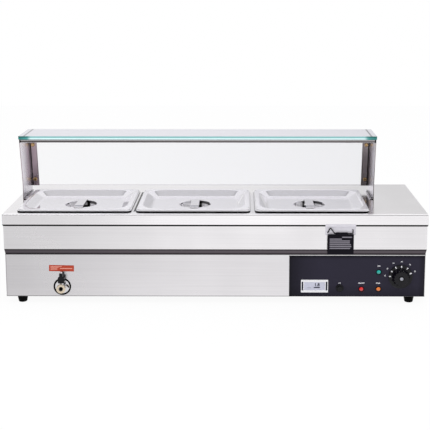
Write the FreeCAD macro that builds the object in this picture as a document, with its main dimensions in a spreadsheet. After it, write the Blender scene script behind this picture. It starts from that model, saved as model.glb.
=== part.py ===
import FreeCAD, Part
import math
import os
import re
import Sketcher
from FreeCAD import Placement, Rotation, Vector

# Countertop food warmer with three lift-out pans and a glass guard.
# Origin: middle of the footprint on the worktop. +X to the right, +Y to the back, +Z up.

DIMENSIONS = {
    # steel cabinet
    "deck_width": 1200, "deck_depth": 400, "deck_top": 260, "flange_height": 30,
    "sheet": 1.5, "band_inset": 2.5, "band_top": 227, "slope_top": 160, "slope_bottom": 144,
    "slope_inset": 3, "body_inset": 5, "body_bottom": 20, "lip": 12,
    # rubber feet
    "foot_top": 30, "foot_tip": 24, "foot_side": 47, "foot_end": 24,
    # water tank and its pan bars
    "well_x": -63.5, "well_y": -39.5, "well_long": 982, "well_deep": 245, "well_lip": 9,
    "tank_long": 1000, "tank_deep": 262, "tank_floor": 63, "tank_skin": 1.2, "bar_wide": 22,
    "bar_high": 18,
    # gastronorm pans and lids
    "pan_pitch": 338.5, "pan_long": 325, "pan_deep": 265, "rim_high": 5, "pan_skin": 1,
    "cup_long": 300, "cup_deep": 239, "cup_depth": 148, "cup_draft": 13, "cup_corner": 34,
    "cup_bottom": 16, "rim_corner": 14,
    "lid_long": 320, "lid_deep": 262, "lid_corner": 16, "lid_skin": 1, "lid_lip": 3,
    "lid_border": 11, "lid_slope": 25, "lid_sink": 15, "panel_corner": 26,
    "grip_round": 92, "grip_floor": 83, "grip_sink": 17, "strap_wide": 25, "strap_skin": 1.6,
    "strap_over": 9, "seat_gap": 0.3,
    # glass guard
    "guard_left": -580, "guard_right": 470, "post_front": -15, "post_back": 110,
    "post_skin": 2, "post_high": 177, "post_bend": 50, "post_lean": 27, "back_wide": 24,
    "foot_tab": 12, "pane_thick": 5, "pane_low": 16, "pane_high": 168, "pane_hold": 20,
    "bar_thick": 10, "bar_deep": 16, "glass_thick": 10, "glass_front": -45, "glass_back": 88,
    "glass_over": 2, "bolt_low": 37, "bolt_high": 149, "bolt_round": 6, "screw_round": 3.5,
    "shelf_tab": 16, "foot_bolt": 5.2,
    # control panel and what it carries
    "panel_x": 401.5, "panel_long": 384, "panel_low": 21, "panel_high": 119.5, "panel_thick": 1.5,
    "meter_x": 281.5, "meter_z": 52, "meter_long": 77, "meter_high": 37, "lcd_long": 58,
    "lcd_high": 25, "button_x": 353, "button_z": 46, "button_round": 15, "button_travel": 2.5,
    "button_high": 5.5, "button_stem": 8, "button_rim": 3.5, "guide_wall": 2, "bezel_high": 3,
    "lamp_round": 12, "lamp_low": 43, "lamp_high": 93, "red_x": 414.5, "orange_x": 463,
    "lens_rim": 1.5, "lens_high": 4.3, "collar_wide": 2, "collar_thick": 1.5,
    "dial_x": 524.5, "dial_z": 80, "dial_round": 68, "dial_high": 22.7, "grip_base": 52,
    "grip_top": 44, "cap_round": 15, "cap_over": 0.8, "shaft_round": 6, "dial_gap": 0.8,
    "skirt_edge": 2.5, "skirt_high": 4, "dial_bevel": 1.5, "flute_out": 0.5,
    "bushing": 10, "case_wide": 44, "case_deep": 26, "capillary_round": 2.4,
    "bulb_back": 50, "tube_out": 55, "tube_side": 60, "tube_bend": 12,
    # drain
    "drain_x": -435.5, "drain_z": 49, "rosette_round": 41, "seal_round": 50, "valve_round": 22,
    "outlet_round": 26, "outlet_bore": 13, "outlet_reach": 25, "valve_reach": 12.5,
    "ball_round": 17, "handle_wide": 18.6, "handle_high": 16, "neck_wide": 11, "neck_high": 12,
    "handle_edge": 0.8, "stem_over": 4.6, "stem_seat": 1, "seal_thick": 1.6, "rosette_edge": 0.9,
    "rosette_high": 1.4, "bore_step": 0.5, "nut_long": 6, "thread": 2,
    "plate_x": -436.5, "plate_z": 102.5, "plate_long": 71, "plate_high": 18,
    # hanging card on the front flange
    "tag_x": 353, "clip_long": 86, "clip_high": 31, "clip_top": 232, "clip_skin": 1,
    "card_long": 74, "card_high": 57, "card_top": 204, "card_skin": 0.8, "tag_reach": 5.5,
    "wire": 3, "wire_bend": 2, "hook_low": 3, "hook_high": 17, "hook_up": 7, "hook_down": 19,
    "hook_end": 10,
    # parts inside the cabinet
    "heater_round": 8, "bushing_round": 12, "heater_gap": 150, "gland_x": 430, "gland_z": 65,
    "gland_reach": 25, "gland_stem": 21, "gland_nut": 28, "gland_cap": 29, "gland_neck": 24,
    "nut_thick": 5, "cord_round": 8, "cord_grip": 8,
    # small gaps and edges: running fit, loose gap, edge bevel
    "fit": 0.05, "play": 0.1, "bevel": 1,
}

WORDS = re.compile(r"(?<![\w.])[a-z]\w*")
# Levels on an XZ plane count forwards, against Y.
FRONT_WALL = "(deck_depth/2-body_inset)"
PANEL_FACE = "(deck_depth/2-body_inset+panel_thick)"
VALVE_LINE = "(deck_depth/2-body_inset+valve_reach)"

doc = FreeCAD.newDocument("FoodWarmer")
sheet = doc.addObject("Spreadsheet::Sheet", "Dims")
sub_parts = []


def fill_sheet():
    for row, (name, value) in enumerate(DIMENSIONS.items(), 1):
        sheet.set("A%d" % row, name)
        sheet.set("B%d" % row, str(value))
        sheet.setAlias("B%d" % row, name)
    doc.recompute()


def num(formula):
    return float(sheet.evalExpression(formula))


def bind(item, path, formula):
    item.setExpression(path, WORDS.sub(r"Dims.\g<0>", formula))


# Bodies and sketches

def new_body(label):
    body = doc.addObject("PartDesign::Body", "Body_" + label)
    body.Label = label
    sub_parts.append(body)
    return body


def sketch_on(body, role, x="0", y="0", level="0"):
    plane = next(p for p in body.Origin.OriginFeatures if p.Role == role)
    sketch = body.newObject("Sketcher::SketchObject", "Sketch")
    sketch.AttachmentSupport = [(plane, "")]
    sketch.MapMode = "FlatFace"
    for axis, formula in zip("xyz", (x, y, level)):
        bind(sketch, "AttachmentOffset.Base." + axis, formula)
    return sketch


def fix(sketch, kind, refs, formula):
    index = sketch.addConstraint(Sketcher.Constraint(kind, *refs, num(formula)))
    bind(sketch, "Constraints[%d]" % index, formula)


def outline(sketch, corners):
    """Closed straight-sided outline through corners given as pairs of formulas."""
    points = [Vector(num(x), num(y), 0) for x, y in corners]
    count = len(points)
    first = sketch.GeometryCount
    for i in range(count):
        sketch.addGeometry(Part.LineSegment(points[i], points[(i + 1) % count]), False)
    for i in range(count):
        after = first + (i + 1) % count
        sketch.addConstraint(Sketcher.Constraint("Coincident", first + i, 2, after, 1))
    for i, (x, y) in enumerate(corners):
        fix(sketch, "DistanceX", (-1, 1, first + i, 1), x)
        fix(sketch, "DistanceY", (-1, 1, first + i, 1), y)


def rectangle(sketch, wide, high, x="0", y="0"):
    left, right = "(%s)-(%s)/2" % (x, wide), "(%s)+(%s)/2" % (x, wide)
    low, top = "(%s)-(%s)/2" % (y, high), "(%s)+(%s)/2" % (y, high)
    outline(sketch, [(left, low), (right, low), (right, top), (left, top)])


def circle(sketch, diameter, x="0", y="0"):
    shape = Part.Circle(Vector(num(x), num(y), 0), Vector(0, 0, 1), num(diameter) / 2)
    index = sketch.addGeometry(shape, False)
    fix(sketch, "Diameter", (index,), diameter)
    fix(sketch, "DistanceX", (-1, 1, index, 3), x)
    fix(sketch, "DistanceY", (-1, 1, index, 3), y)


# Features

def pad(body, sketch, length, back=False, both=False):
    feature = body.newObject("PartDesign::Pad", "Pad")
    feature.Profile = sketch
    bind(feature, "Length", length)
    feature.Reversed = back
    feature.Midplane = both
    return feature


def pocket(body, sketch, length, back=False):
    """Cut of a given depth; the solid has to lose volume."""
    doc.recompute()
    before = body.Shape.Volume
    feature = body.newObject("PartDesign::Pocket", "Pocket")
    feature.Profile = sketch
    bind(feature, "Length", length)
    feature.Reversed = back
    doc.recompute()
    if body.Shape.Volume >= before:
        raise ValueError(body.Label + ": a pocket cuts nothing")
    return feature


def revolve(body, sketch):
    """Full turn about the sketch's own upright axis."""
    feature = body.newObject("PartDesign::Revolution", "Revolution")
    feature.Profile = sketch
    feature.ReferenceAxis = (sketch, ["V_Axis"])
    feature.Angle = 360
    return feature


def loft(body, first, last):
    feature = body.newObject("PartDesign::AdditiveLoft", "Loft")
    feature.Profile = first
    feature.Sections = [last]
    feature.Ruled = True
    return feature


def named_edges(shape, wanted):
    return ["Edge%d" % (i + 1) for i, edge in enumerate(shape.Edges) if wanted(edge)]


def fillet(body, wanted, radius):
    """Rounds the edges of the body's last feature that the test picks."""
    doc.recompute()
    tip = body.Tip
    edges = named_edges(tip.Shape, wanted)
    if not edges:
        raise ValueError(body.Label + ": no edge to round")
    feature = body.newObject("PartDesign::Fillet", "Fillet")
    feature.Base = (tip, edges)
    bind(feature, "Radius", radius)
    return feature


def shell(body, wanted, skin):
    """Hollows the body inwards and leaves the picked faces open."""
    doc.recompute()
    tip = body.Tip
    faces = ["Face%d" % (i + 1) for i, f in enumerate(tip.Shape.Faces) if wanted(f)]
    feature = body.newObject("PartDesign::Thickness", "Shell")
    feature.Base = (tip, faces)
    bind(feature, "Value", skin)
    feature.Reversed = True
    feature.Join = "Intersection"
    return feature


def ends(edge):
    return edge.Vertexes[0].Point, edge.Vertexes[-1].Point


def is_upright(edge):
    a, b = ends(edge)
    return abs(a.z - b.z) > 0.6 * edge.Length


def is_across(edge):
    a, b = ends(edge)
    return abs(a.y - b.y) > 0.9 * edge.Length


def at_level(formula):
    level = num(formula)
    return lambda edge: all(abs(v.Point.z - level) < 0.01 for v in edge.Vertexes)


def faces_up(face):
    return face.normalAt(0, 0).z > 0.9


def faces_down(face):
    return face.normalAt(0, 0).z < -0.9


def ring(body, wide, deep, hole_wide, hole_deep, level, high, x="0", y="0"):
    """Upright rectangular tube, standing on a level."""
    sketch = sketch_on(body, "XY_Plane", x, y, level)
    rectangle(sketch, wide, deep)
    rectangle(sketch, hole_wide, hole_deep)
    return pad(body, sketch, high)


def cut_round(body, role, diameter, x, y, level, length, back=False):
    sketch = sketch_on(body, role, x, y, level)
    circle(sketch, diameter)
    return pocket(body, sketch, length, back)


def rounded(sketch, wide, high, radius):
    """Rectangle with round corners, centred on the sketch's origin."""
    w, d, r = num(wide) / 2, num(high) / 2, num(radius)
    first = sketch.GeometryCount
    sides = [
        ((-w + r, -d), (w - r, -d)), ((w, -d + r), (w, d - r)),
        ((w - r, d), (-w + r, d)), ((-w, d - r), (-w, -d + r)),
    ]
    middles = [(w - r, -d + r), (w - r, d - r), (-w + r, d - r), (-w + r, -d + r)]
    for a, b in sides:
        sketch.addGeometry(Part.LineSegment(Vector(*a, 0), Vector(*b, 0)), False)
    for i, middle in enumerate(middles):
        full = Part.Circle(Vector(*middle, 0), Vector(0, 0, 1), r)
        start = (i - 1) * math.pi / 2
        sketch.addGeometry(Part.ArcOfCircle(full, start, start + math.pi / 2), False)
    for i in range(4):
        corner = first + 4 + i
        sketch.addConstraint(Sketcher.Constraint("Tangent", first + i, 2, corner, 1))
        sketch.addConstraint(Sketcher.Constraint("Tangent", corner, 2, first + (i + 1) % 4, 1))
    for i, kind in enumerate(("Horizontal", "Vertical", "Horizontal", "Vertical")):
        sketch.addConstraint(Sketcher.Constraint(kind, first + i))
    for i in range(3):
        sketch.addConstraint(Sketcher.Constraint("Equal", first + 4, first + 5 + i))
    fix(sketch, "Radius", (first + 4,), radius)
    fix(sketch, "DistanceX", (-1, 1, first + 1, 1), "(%s)/2" % wide)
    fix(sketch, "DistanceX", (-1, 1, first + 3, 1), "-(%s)/2" % wide)
    fix(sketch, "DistanceY", (-1, 1, first, 1), "-(%s)/2" % high)
    fix(sketch, "DistanceY", (-1, 1, first + 2, 1), "(%s)/2" % high)


def dish(body, x, y, top, bottom, cut=False):
    """Frustum between two round-cornered rectangles, each (wide, deep, radius, level)."""
    sections = []
    for wide, deep, radius, level in (top, bottom):
        sketch = sketch_on(body, "XY_Plane", x, y, level)
        rounded(sketch, wide, deep, radius)
        sections.append(sketch)
    kind = "PartDesign::SubtractiveLoft" if cut else "PartDesign::AdditiveLoft"
    feature = body.newObject(kind, "Dish")
    feature.Profile = sections[0]
    feature.Sections = [sections[1]]
    feature.Ruled = True
    return feature


def round_ring(body, x, y, level, high, outer, inner):
    """Round-cornered ring, standing on a level; outlines are (wide, deep, radius)."""
    sketch = sketch_on(body, "XY_Plane", x, y, level)
    rounded(sketch, *outer)
    rounded(sketch, *inner)
    return pad(body, sketch, high)


def inside(outer, wall):
    """Outline one wall smaller all round."""
    wide, deep, radius = outer
    return "%s-2*%s" % (wide, wall), "%s-2*%s" % (deep, wall), "%s-%s" % (radius, wall)


# Screws and their holes

BOLT_PLACES = [(x, height) for x in ("guard_left+back_wide/2", "guard_right-back_wide/2")
               for height in ("bolt_low", "bolt_high")]
TAB_SCREWS = [(x, y) for x in ("guard_left+foot_tab*0.6", "guard_right-foot_tab*0.6")
              for y in ("post_front+foot_tab*2", "post_back-foot_tab*2")]
FOOT_PLACES = [(x, y) for x in ("-(deck_width/2-foot_side)", "deck_width/2-foot_side")
               for y in ("-(deck_depth/2-foot_end)", "deck_depth/2-foot_end")]


def drill(body, places, diameter, level, depth):
    """Upright screw holes at given places in plan."""
    for x, y in places:
        cut_round(body, "XY_Plane", diameter, x, y, level, depth)


def lean_hole(body, x, height):
    """Bolt hole square to the leaning pane."""
    share = "((%s-pane_low)/(post_high+bar_thick-pane_low)*(post_lean+post_skin))" % height
    sketch = sketch_on(body, "XZ_Plane")
    sketch.AttachmentOffset = Placement(Vector(), Rotation(Vector(1, 0, 0), pane_lean()))
    bind(sketch, "AttachmentOffset.Base.x", x)
    bind(sketch, "AttachmentOffset.Base.y", "deck_top+" + height)
    bind(sketch, "AttachmentOffset.Base.z", "-(post_back-post_skin-%s)" % share)
    circle(sketch, "bolt_round+2*play")
    pocket(body, sketch, "3*pane_thick")


# Steel cabinet

def make_top_deck():
    body = new_body("top_deck")
    sketch = sketch_on(body, "XY_Plane", level="deck_top-flange_height")
    rectangle(sketch, "deck_width", "deck_depth")
    pad(body, sketch, "flange_height")
    fillet(body, is_upright, "2*sheet")
    fillet(body, at_level("deck_top"), "1.5*sheet")
    shell(body, faces_down, "sheet")
    drill(body, TAB_SCREWS, "screw_round+2*play", "deck_top", "2*sheet")
    opening = sketch_on(body, "XY_Plane", "well_x", "well_y", "deck_top")
    rectangle(opening, "well_long", "well_deep")
    pocket(body, opening, "2*sheet")
    ring(body, "well_long+2*sheet", "well_deep+2*sheet", "well_long", "well_deep",
         "deck_top-well_lip", "well_lip-sheet/2", "well_x", "well_y")


def make_upper_housing():
    body = new_body("upper_housing")
    wide, deep = "(deck_width-2*band_inset)", "(deck_depth-2*band_inset)"
    sections = []
    for inset, level in (("0", "slope_top"), ("slope_inset", "slope_bottom")):
        sketch = sketch_on(body, "XY_Plane", level=level)
        rectangle(sketch, "%s-2*%s" % (wide, inset), "%s-2*%s" % (deep, inset))
        sections.append(sketch)
    loft(body, *sections)
    walls = sketch_on(body, "XY_Plane", level="slope_top")
    rectangle(walls, wide, deep)
    pad(body, walls, "deck_top-sheet-slope_top")
    shell(body, lambda face: faces_up(face) or faces_down(face), "sheet")
    ring(body, wide, deep, wide + "-2*lip", deep + "-2*lip", "deck_top-2*sheet", "sheet")


def make_deck_seal():
    body = new_body("deck_seal")
    wide, deep = "(deck_width-2*sheet)", "(deck_depth-2*sheet)"
    ring(body, wide, deep, "deck_width-2*band_inset", "deck_depth-2*band_inset",
         "deck_top-flange_height-sheet*2", "sheet*3")
    side = num("deck_width/2-sheet*1.2")
    fillet(body, lambda edge: is_upright(edge) and abs(ends(edge)[0].x) > side, "sheet")


def make_lower_housing():
    """Rear and end walls in one folded sheet, open at the front."""
    body = new_body("lower_housing")
    wide, deep = "(deck_width-2*body_inset)", "(deck_depth-2*body_inset)"
    ring(body, wide, deep, wide + "-2*sheet", deep + "-2*sheet", "body_bottom",
         "slope_bottom-body_bottom")
    ring(body, wide, deep, wide + "-2*lip", deep + "-2*lip", "slope_bottom-sheet", "sheet")
    cut_round(body, "XZ_Plane", "valve_round", "gland_x", "gland_z", "-" + FRONT_WALL,
              "2*sheet", True)
    front = sketch_on(body, "XY_Plane", "0", "-(%s-lip/2)" % FRONT_WALL, "slope_bottom")
    rectangle(front, wide + "-2*sheet", "lip")
    pocket(body, front, "slope_bottom-body_bottom")


def make_front_panel():
    """Front wall between the ends, folded back along its top edge."""
    body = new_body("front_panel")
    side = sketch_on(body, "YZ_Plane", level="-(deck_width/2-body_inset-sheet)")
    outline(side, [
        ("-" + FRONT_WALL, "body_bottom"), ("-(%s-sheet)" % FRONT_WALL, "body_bottom"),
        ("-(%s-sheet)" % FRONT_WALL, "slope_bottom-sheet"),
        ("-(%s-lip)" % FRONT_WALL, "slope_bottom-sheet"),
        ("-(%s-lip)" % FRONT_WALL, "slope_bottom"), ("-" + FRONT_WALL, "slope_bottom"),
    ])
    pad(body, side, "deck_width-2*body_inset-2*sheet")
    window = sketch_on(body, "XZ_Plane", "panel_x", "panel_low+panel_high/2", FRONT_WALL)
    rectangle(window, "panel_long-2*lip", "panel_high-2*lip")
    pocket(body, window, "2*sheet")
    cut_round(body, "XZ_Plane", "valve_round", "drain_x", "drain_z", FRONT_WALL, "2*sheet")


def make_base_plate():
    body = new_body("base_plate")
    wide = "(deck_width-2*body_inset-2*sheet)"
    deep = "(deck_depth-2*body_inset-2*sheet)"
    sketch = sketch_on(body, "XY_Plane", level="body_bottom")
    rectangle(sketch, wide, deep)
    pad(body, sketch, "sheet")
    ring(body, wide, deep, wide + "-2*sheet", deep + "-2*sheet", "body_bottom+sheet", "lip")
    slot = sketch_on(body, "XY_Plane", "panel_x-panel_long/3", level="body_bottom+sheet")
    rectangle(slot, "lip/2", "deck_depth/3")
    cut = pocket(body, slot, "2*sheet")
    pattern = body.newObject("PartDesign::LinearPattern", "Vents")
    pattern.Originals = [cut]
    pattern.Direction = (slot, ["H_Axis"])
    bind(pattern, "Length", "panel_long*0.7")
    pattern.Occurrences = 12
    body.Tip = pattern
    drill(body, FOOT_PLACES, "foot_bolt+2*play", "body_bottom+sheet", "2*sheet")


def make_feet():
    for side, x in (("left", "-(deck_width/2-foot_side)"), ("right", "deck_width/2-foot_side")):
        for end, y in (("front", "deck_depth/2-foot_end"), ("rear", "-(deck_depth/2-foot_end)")):
            body = new_body("foot_%s_%s" % (end, side))
            sketch = sketch_on(body, "XZ_Plane", x, level=y)
            outline(sketch, [
                ("3", "body_bottom/3"), ("foot_tip/4", "body_bottom/3"), ("foot_tip/4", "0"),
                ("foot_tip/2-1", "0"), ("foot_tip/2", "1"), ("foot_top/2", "body_bottom-2"),
                ("foot_top/2", "body_bottom"), ("3", "body_bottom"),
            ])
            revolve(body, sketch)


# Water tank, heater and what hangs in it

def make_water_tank():
    body = new_body("water_tank")
    sketch = sketch_on(body, "XY_Plane", "well_x", "well_y", "tank_floor")
    rectangle(sketch, "tank_long", "tank_deep")
    pad(body, sketch, "deck_top-sheet-tank_floor")
    fillet(body, is_upright, "lip")
    fillet(body, at_level("tank_floor"), "lip/2")
    shell(body, faces_up, "tank_skin")
    ring(body, "tank_long+2*lip", "tank_deep+2*lip", "tank_long-2*tank_skin",
         "tank_deep-2*tank_skin", "deck_top-sheet-tank_skin", "tank_skin", "well_x", "well_y")
    cut_round(body, "XY_Plane", "outlet_bore", "drain_x", "well_y-tank_deep/2+2*lip",
              "tank_floor+2*tank_skin", "4*tank_skin")
    for y, _ in TANK_ENTRIES:
        cut_round(body, "YZ_Plane", "bushing_round", y, "tank_floor+2*lip",
                  "well_x+tank_long/2+1", "4*tank_skin")


TANK_ENTRIES = [("well_y-heater_gap/2", "heater_round"), ("well_y", "capillary_round"),
                ("well_y+heater_gap/2", "heater_round")]


def make_bushings():
    """Collared bushings where the heater legs and the capillary pass the tank wall."""
    inner = num("well_x+tank_long/2-tank_skin")
    skin, outer = num("tank_skin"), num("bushing_round/2")
    solids = []
    for y, bore in TANK_ENTRIES:
        start = Vector(inner, num(y), num("tank_floor+2*lip"))
        along = Vector(1, 0, 0)
        sleeve = Part.makeCylinder(outer, 3 * skin, start, along)
        collar = Part.makeCylinder(outer * 1.4, 2 * skin, start - along * 2 * skin, along)
        hole = Part.makeCylinder(num(bore) / 2, 8 * skin, start - along * 4 * skin, along)
        solids.append(sleeve.fuse(collar).cut(hole).removeSplitter())
    add_group("tank_bushings", solids)


def make_pan_bars():
    bars = []
    for label, side in (("left", "-"), ("right", "+")):
        body = new_body("bar_" + label)
        sub_parts.remove(body)
        bars.append(body)
        profile = sketch_on(body, "XZ_Plane", "well_x%span_pitch/2" % side, "deck_top",
                            "-(well_y)")
        half, skin = "bar_wide/2", "sheet"
        outline(profile, [
            ("-" + half, "0"), ("-" + half, "-bar_high"), ("-%s+%s" % (half, skin), "-bar_high"),
            ("-%s+%s" % (half, skin), "-sheet"), ("%s-%s" % (half, skin), "-sheet"),
            ("%s-%s" % (half, skin), "-bar_high"), (half, "-bar_high"), (half, "0"),
        ])
        pad(body, profile, "well_deep", both=True)
    pair = doc.addObject("Part::Compound", "Pan_bars")
    pair.Label = "pan_bars"
    pair.Links = bars
    sub_parts.append(pair)


def pipe_along(label, points, radius, diameter, bore=None):
    """Round tube on straight runs joined by arcs of one radius."""
    turned = []
    last = points[0]
    for corner, after in zip(points[1:-1], points[2:]):
        back, ahead = (last - corner).normalize(), (after - corner).normalize()
        middle = (back + ahead).normalize()
        half_turn = back.getAngle(ahead) / 2
        reach = radius / math.tan(half_turn)
        start, end = corner + back * reach, corner + ahead * reach
        centre = corner + middle * (radius / math.sin(half_turn))
        turned.append(Part.LineSegment(last, start).toShape())
        turned.append(Part.Arc(start, centre - middle * radius, end).toShape())
        last = end
    turned.append(Part.LineSegment(last, points[-1]).toShape())
    path = Part.Wire(turned)
    heading = points[1] - points[0]

    def swept(size):
        ring_edge = Part.makeCircle(size / 2, points[0], heading)
        return path.makePipeShell([Part.Wire(ring_edge)], True, True)

    shape = swept(diameter)
    if bore:
        shape = shape.cut(swept(bore))
    feature = doc.addObject("Part::Feature", "Pipe_" + label)
    feature.Label = label
    feature.Shape = shape
    sub_parts.append(feature)
    return feature


def make_heater():
    """Hairpin element lying above the tank floor, its legs leaving to the right."""
    left = num("well_x-tank_long/2+5*lip")
    right = num("well_x+tank_long/2+3*lip")
    level = num("tank_floor+2*lip")
    near, far = num("well_y-heater_gap/2"), num("well_y+heater_gap/2")
    points = [Vector(right, near, level), Vector(left, near, level), Vector(left, far, level),
              Vector(right, far, level)]
    pipe_along("heating_element", points, num("4*heater_round"), num("heater_round"))


def make_drain_pipe():
    """Elbow from the tank floor down and forward to the valve."""
    x, y = num("drain_x"), num("well_y-tank_deep/2+2*lip")
    level = num("drain_z")
    points = [Vector(x, y, num("tank_floor")), Vector(x, y, level),
              Vector(x, num("sheet") - num(FRONT_WALL), level)]
    pipe_along("drain_pipe", points, num("outlet_bore*0.85"), num("outlet_bore+3"),
               num("outlet_bore"))


def make_box(label, x, y, z, long, deep, high):
    """Plain block given by its middle in plan, its lowest level and its sides."""
    body = new_body(label)
    sketch = sketch_on(body, "XY_Plane", x, y, z)
    rectangle(sketch, long, deep)
    pad(body, sketch, high)
    return body


# Pans and lids

PAN_PLACES = {"left": "well_x-pan_pitch", "middle": "well_x", "right": "well_x+pan_pitch"}


def make_pan(name, x):
    body = new_body("pan_" + name)
    rim = "deck_top+rim_high"
    floors = {}
    for skin, cut in (("0", False), ("pan_skin", True)):
        floors[skin] = "%s-pan_skin-cup_depth+%s" % (rim, skin)
        shrink = "-2*%s" % skin
        dish(body, x, "well_y",
             ("cup_long" + shrink, "cup_deep" + shrink, "cup_corner-" + skin, rim + "-pan_skin"),
             ("cup_long-2*cup_draft" + shrink, "cup_deep-2*cup_draft" + shrink,
              "cup_corner-cup_draft-" + skin, floors[skin]), cut)
    fillet(body, at_level(floors["pan_skin"]), "cup_bottom-pan_skin")
    fillet(body, at_level(floors["0"]), "cup_bottom")
    outer = ("pan_long", "pan_deep", "rim_corner")
    mouth = ("cup_long-pan_skin", "cup_deep-pan_skin", "cup_corner-pan_skin/2")
    round_ring(body, x, "well_y", rim + "-pan_skin", "pan_skin", outer, mouth)
    round_ring(body, x, "well_y", "deck_top+seat_gap", "rim_high-pan_skin-seat_gap", outer,
               inside(outer, "pan_skin"))
    fillet(body, at_level(rim), "pan_skin*0.8")


def make_lid(name, x):
    """Pressed lid: flat border, sloped dish, flat panel and a round hand recess."""
    body = new_body("lid_" + name)
    top = "(deck_top+rim_high+seat_gap+lid_lip)"
    outer = ("lid_long", "lid_deep", "lid_corner")
    border = sketch_on(body, "XY_Plane", x, "well_y", top + "-lid_skin")
    rounded(border, *outer)
    pad(body, border, "lid_skin")
    round_ring(body, x, "well_y", top + "-lid_lip", "lid_lip-lid_skin", outer,
               inside(outer, "lid_skin"))
    slope_wide, slope_deep = "lid_long-2*lid_border", "lid_deep-2*lid_border"
    for under, cut in (("lid_skin", False), ("0", True)):
        level = "%s-%s" % (top, under)
        grow = "+2*%s" % under
        dish(body, x, "well_y",
             (slope_wide + grow, slope_deep + grow, "panel_corner+lid_slope", level),
             (slope_wide + grow + "-2*lid_slope", slope_deep + grow + "-2*lid_slope",
              "panel_corner", level + "-lid_sink"), cut)
        sections = []
        for size, down in (("grip_round", "lid_sink"), ("grip_floor", "(lid_sink+grip_sink)")):
            sketch = sketch_on(body, "XY_Plane", x, "well_y", "%s-%s" % (level, down))
            circle(sketch, size + grow)
            sections.append(sketch)
        kind = "PartDesign::SubtractiveLoft" if cut else "PartDesign::AdditiveLoft"
        recess = body.newObject(kind, "Recess")
        recess.Profile, recess.Sections = sections[0], [sections[1]]
        recess.Ruled = True


def make_strap(name, x):
    """Hand strap: a flat strip across the recess, raised in the middle."""
    body = new_body("lid_strap_" + name)
    base = "(deck_top+rim_high+seat_gap+lid_lip-lid_sink)"
    half, rise = "(grip_round/2+strap_over)", "2*strap_skin"
    foot, knee = "grip_round/2", "grip_round/2-strap_over"
    profile = sketch_on(body, "YZ_Plane", "well_y", base, x)
    lower = [("-" + half, "0"), ("-" + foot, "0"), ("-(%s)" % knee, rise), (knee, rise),
             (foot, "0"), (half, "0")]
    upper = [(y, z + "+strap_skin") for y, z in reversed(lower)]
    outline(profile, lower + upper)
    pad(body, profile, "strap_wide", both=True)


# Glass guard

def make_upright(name, outer, back):
    """Bent side post: side plate, back flange, shelf tab and foot tab."""
    body = new_body("upright_" + name)
    top, rear_low = "deck_top+post_high+bar_thick", "deck_top+pane_low"
    lean_rear = "post_back-post_lean-post_skin"
    front_top = "post_front-post_lean"
    side = sketch_on(body, "YZ_Plane", level=outer)
    outline(side, [
        ("post_front", "deck_top"), ("post_back", "deck_top"), ("post_back", rear_low),
        (lean_rear, top), (front_top + "+bar_deep", top),
        (front_top + "+bar_deep", "deck_top+post_high"), (front_top, "deck_top+post_high"),
        ("post_front", "deck_top+post_bend"),
    ])
    pad(body, side, "post_skin", back)
    flange = sketch_on(body, "YZ_Plane", level=outer)
    outline(flange, [("post_back", rear_low), (lean_rear, top), (lean_rear + "-post_skin", top),
                     ("post_back-post_skin", rear_low)])
    pad(body, flange, "back_wide", back)
    for level, front, rear, reach in (
            (top + "-post_skin", front_top + "+bar_deep", lean_rear, "shelf_tab"),
            ("deck_top", "post_front", "post_back", "foot_tab")):
        tab = sketch_on(body, "YZ_Plane", level=outer)
        low, high = level, level + "+post_skin"
        outline(tab, [(front, low), (rear, low), (rear, high), (front, high)])
        pad(body, tab, reach, back)
    drill(body, [p for p in TAB_SCREWS if outer in p[0]], "screw_round+2*play",
          "deck_top+post_skin", "2*post_skin")
    for x, height in BOLT_PLACES:
        if outer in x:
            lean_hole(body, x, height)


def pane_lean():
    """Angle of the leaning pane from upright, in degrees."""
    drop = num("post_high+bar_thick-pane_low")
    return math.degrees(math.atan2(num("post_lean+post_skin"), drop))


def pane_face(height):
    """Y of the flange's rear face at a height above the deck."""
    share = (height - num("pane_low")) / num("post_high+bar_thick-pane_low")
    return num("post_back") - share * num("post_lean+post_skin")


def make_rear_pane():
    body = new_body("rear_pane")
    share = "((pane_high-pane_low)/(post_high+bar_thick-pane_low)*(post_lean+post_skin))"
    sketch = sketch_on(body, "YZ_Plane", level="guard_left+2*post_skin")
    outline(sketch, [
        ("post_back", "deck_top+pane_low"), ("post_back+pane_thick", "deck_top+pane_low"),
        ("post_back+pane_thick-" + share, "deck_top+pane_high"),
        ("post_back-" + share, "deck_top+pane_high"),
    ])
    pad(body, sketch, "guard_right-guard_left-4*post_skin")
    for x, height in BOLT_PLACES:
        lean_hole(body, x, height)


def make_shelf():
    bar = new_body("shelf_bar")
    front = "(post_front-post_lean)"
    sketch = sketch_on(bar, "YZ_Plane", level="guard_left+post_skin*2")
    low, high = "deck_top+post_high", "deck_top+post_high+bar_thick"
    outline(sketch, [(front, low), (front + "+bar_deep", low), (front + "+bar_deep", high),
                     (front, high)])
    pad(bar, sketch, "guard_right-guard_left-4*post_skin")
    fillet(bar, lambda edge: edge.Length > 100, "post_skin")
    caps = [Part.makeBox(num("post_skin*2"), num("bar_deep"), num("bar_thick"),
                         Vector(x, num(front), num(low)))
            for x in (num("guard_left"), num("guard_right-2*post_skin"))]
    add_group("bar_caps", caps)
    glass = make_box("shelf_glass", "(guard_left+guard_right)/2", "(glass_front+glass_back)/2",
                     high, "guard_right-guard_left+2*glass_over", "glass_back-glass_front",
                     "glass_thick")
    fillet(glass, is_upright, "glass_over")


def add_group(label, solids):
    feature = doc.addObject("Part::Feature", "Group_" + label)
    feature.Label = label
    feature.Shape = Part.makeCompound(solids)
    sub_parts.append(feature)


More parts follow.
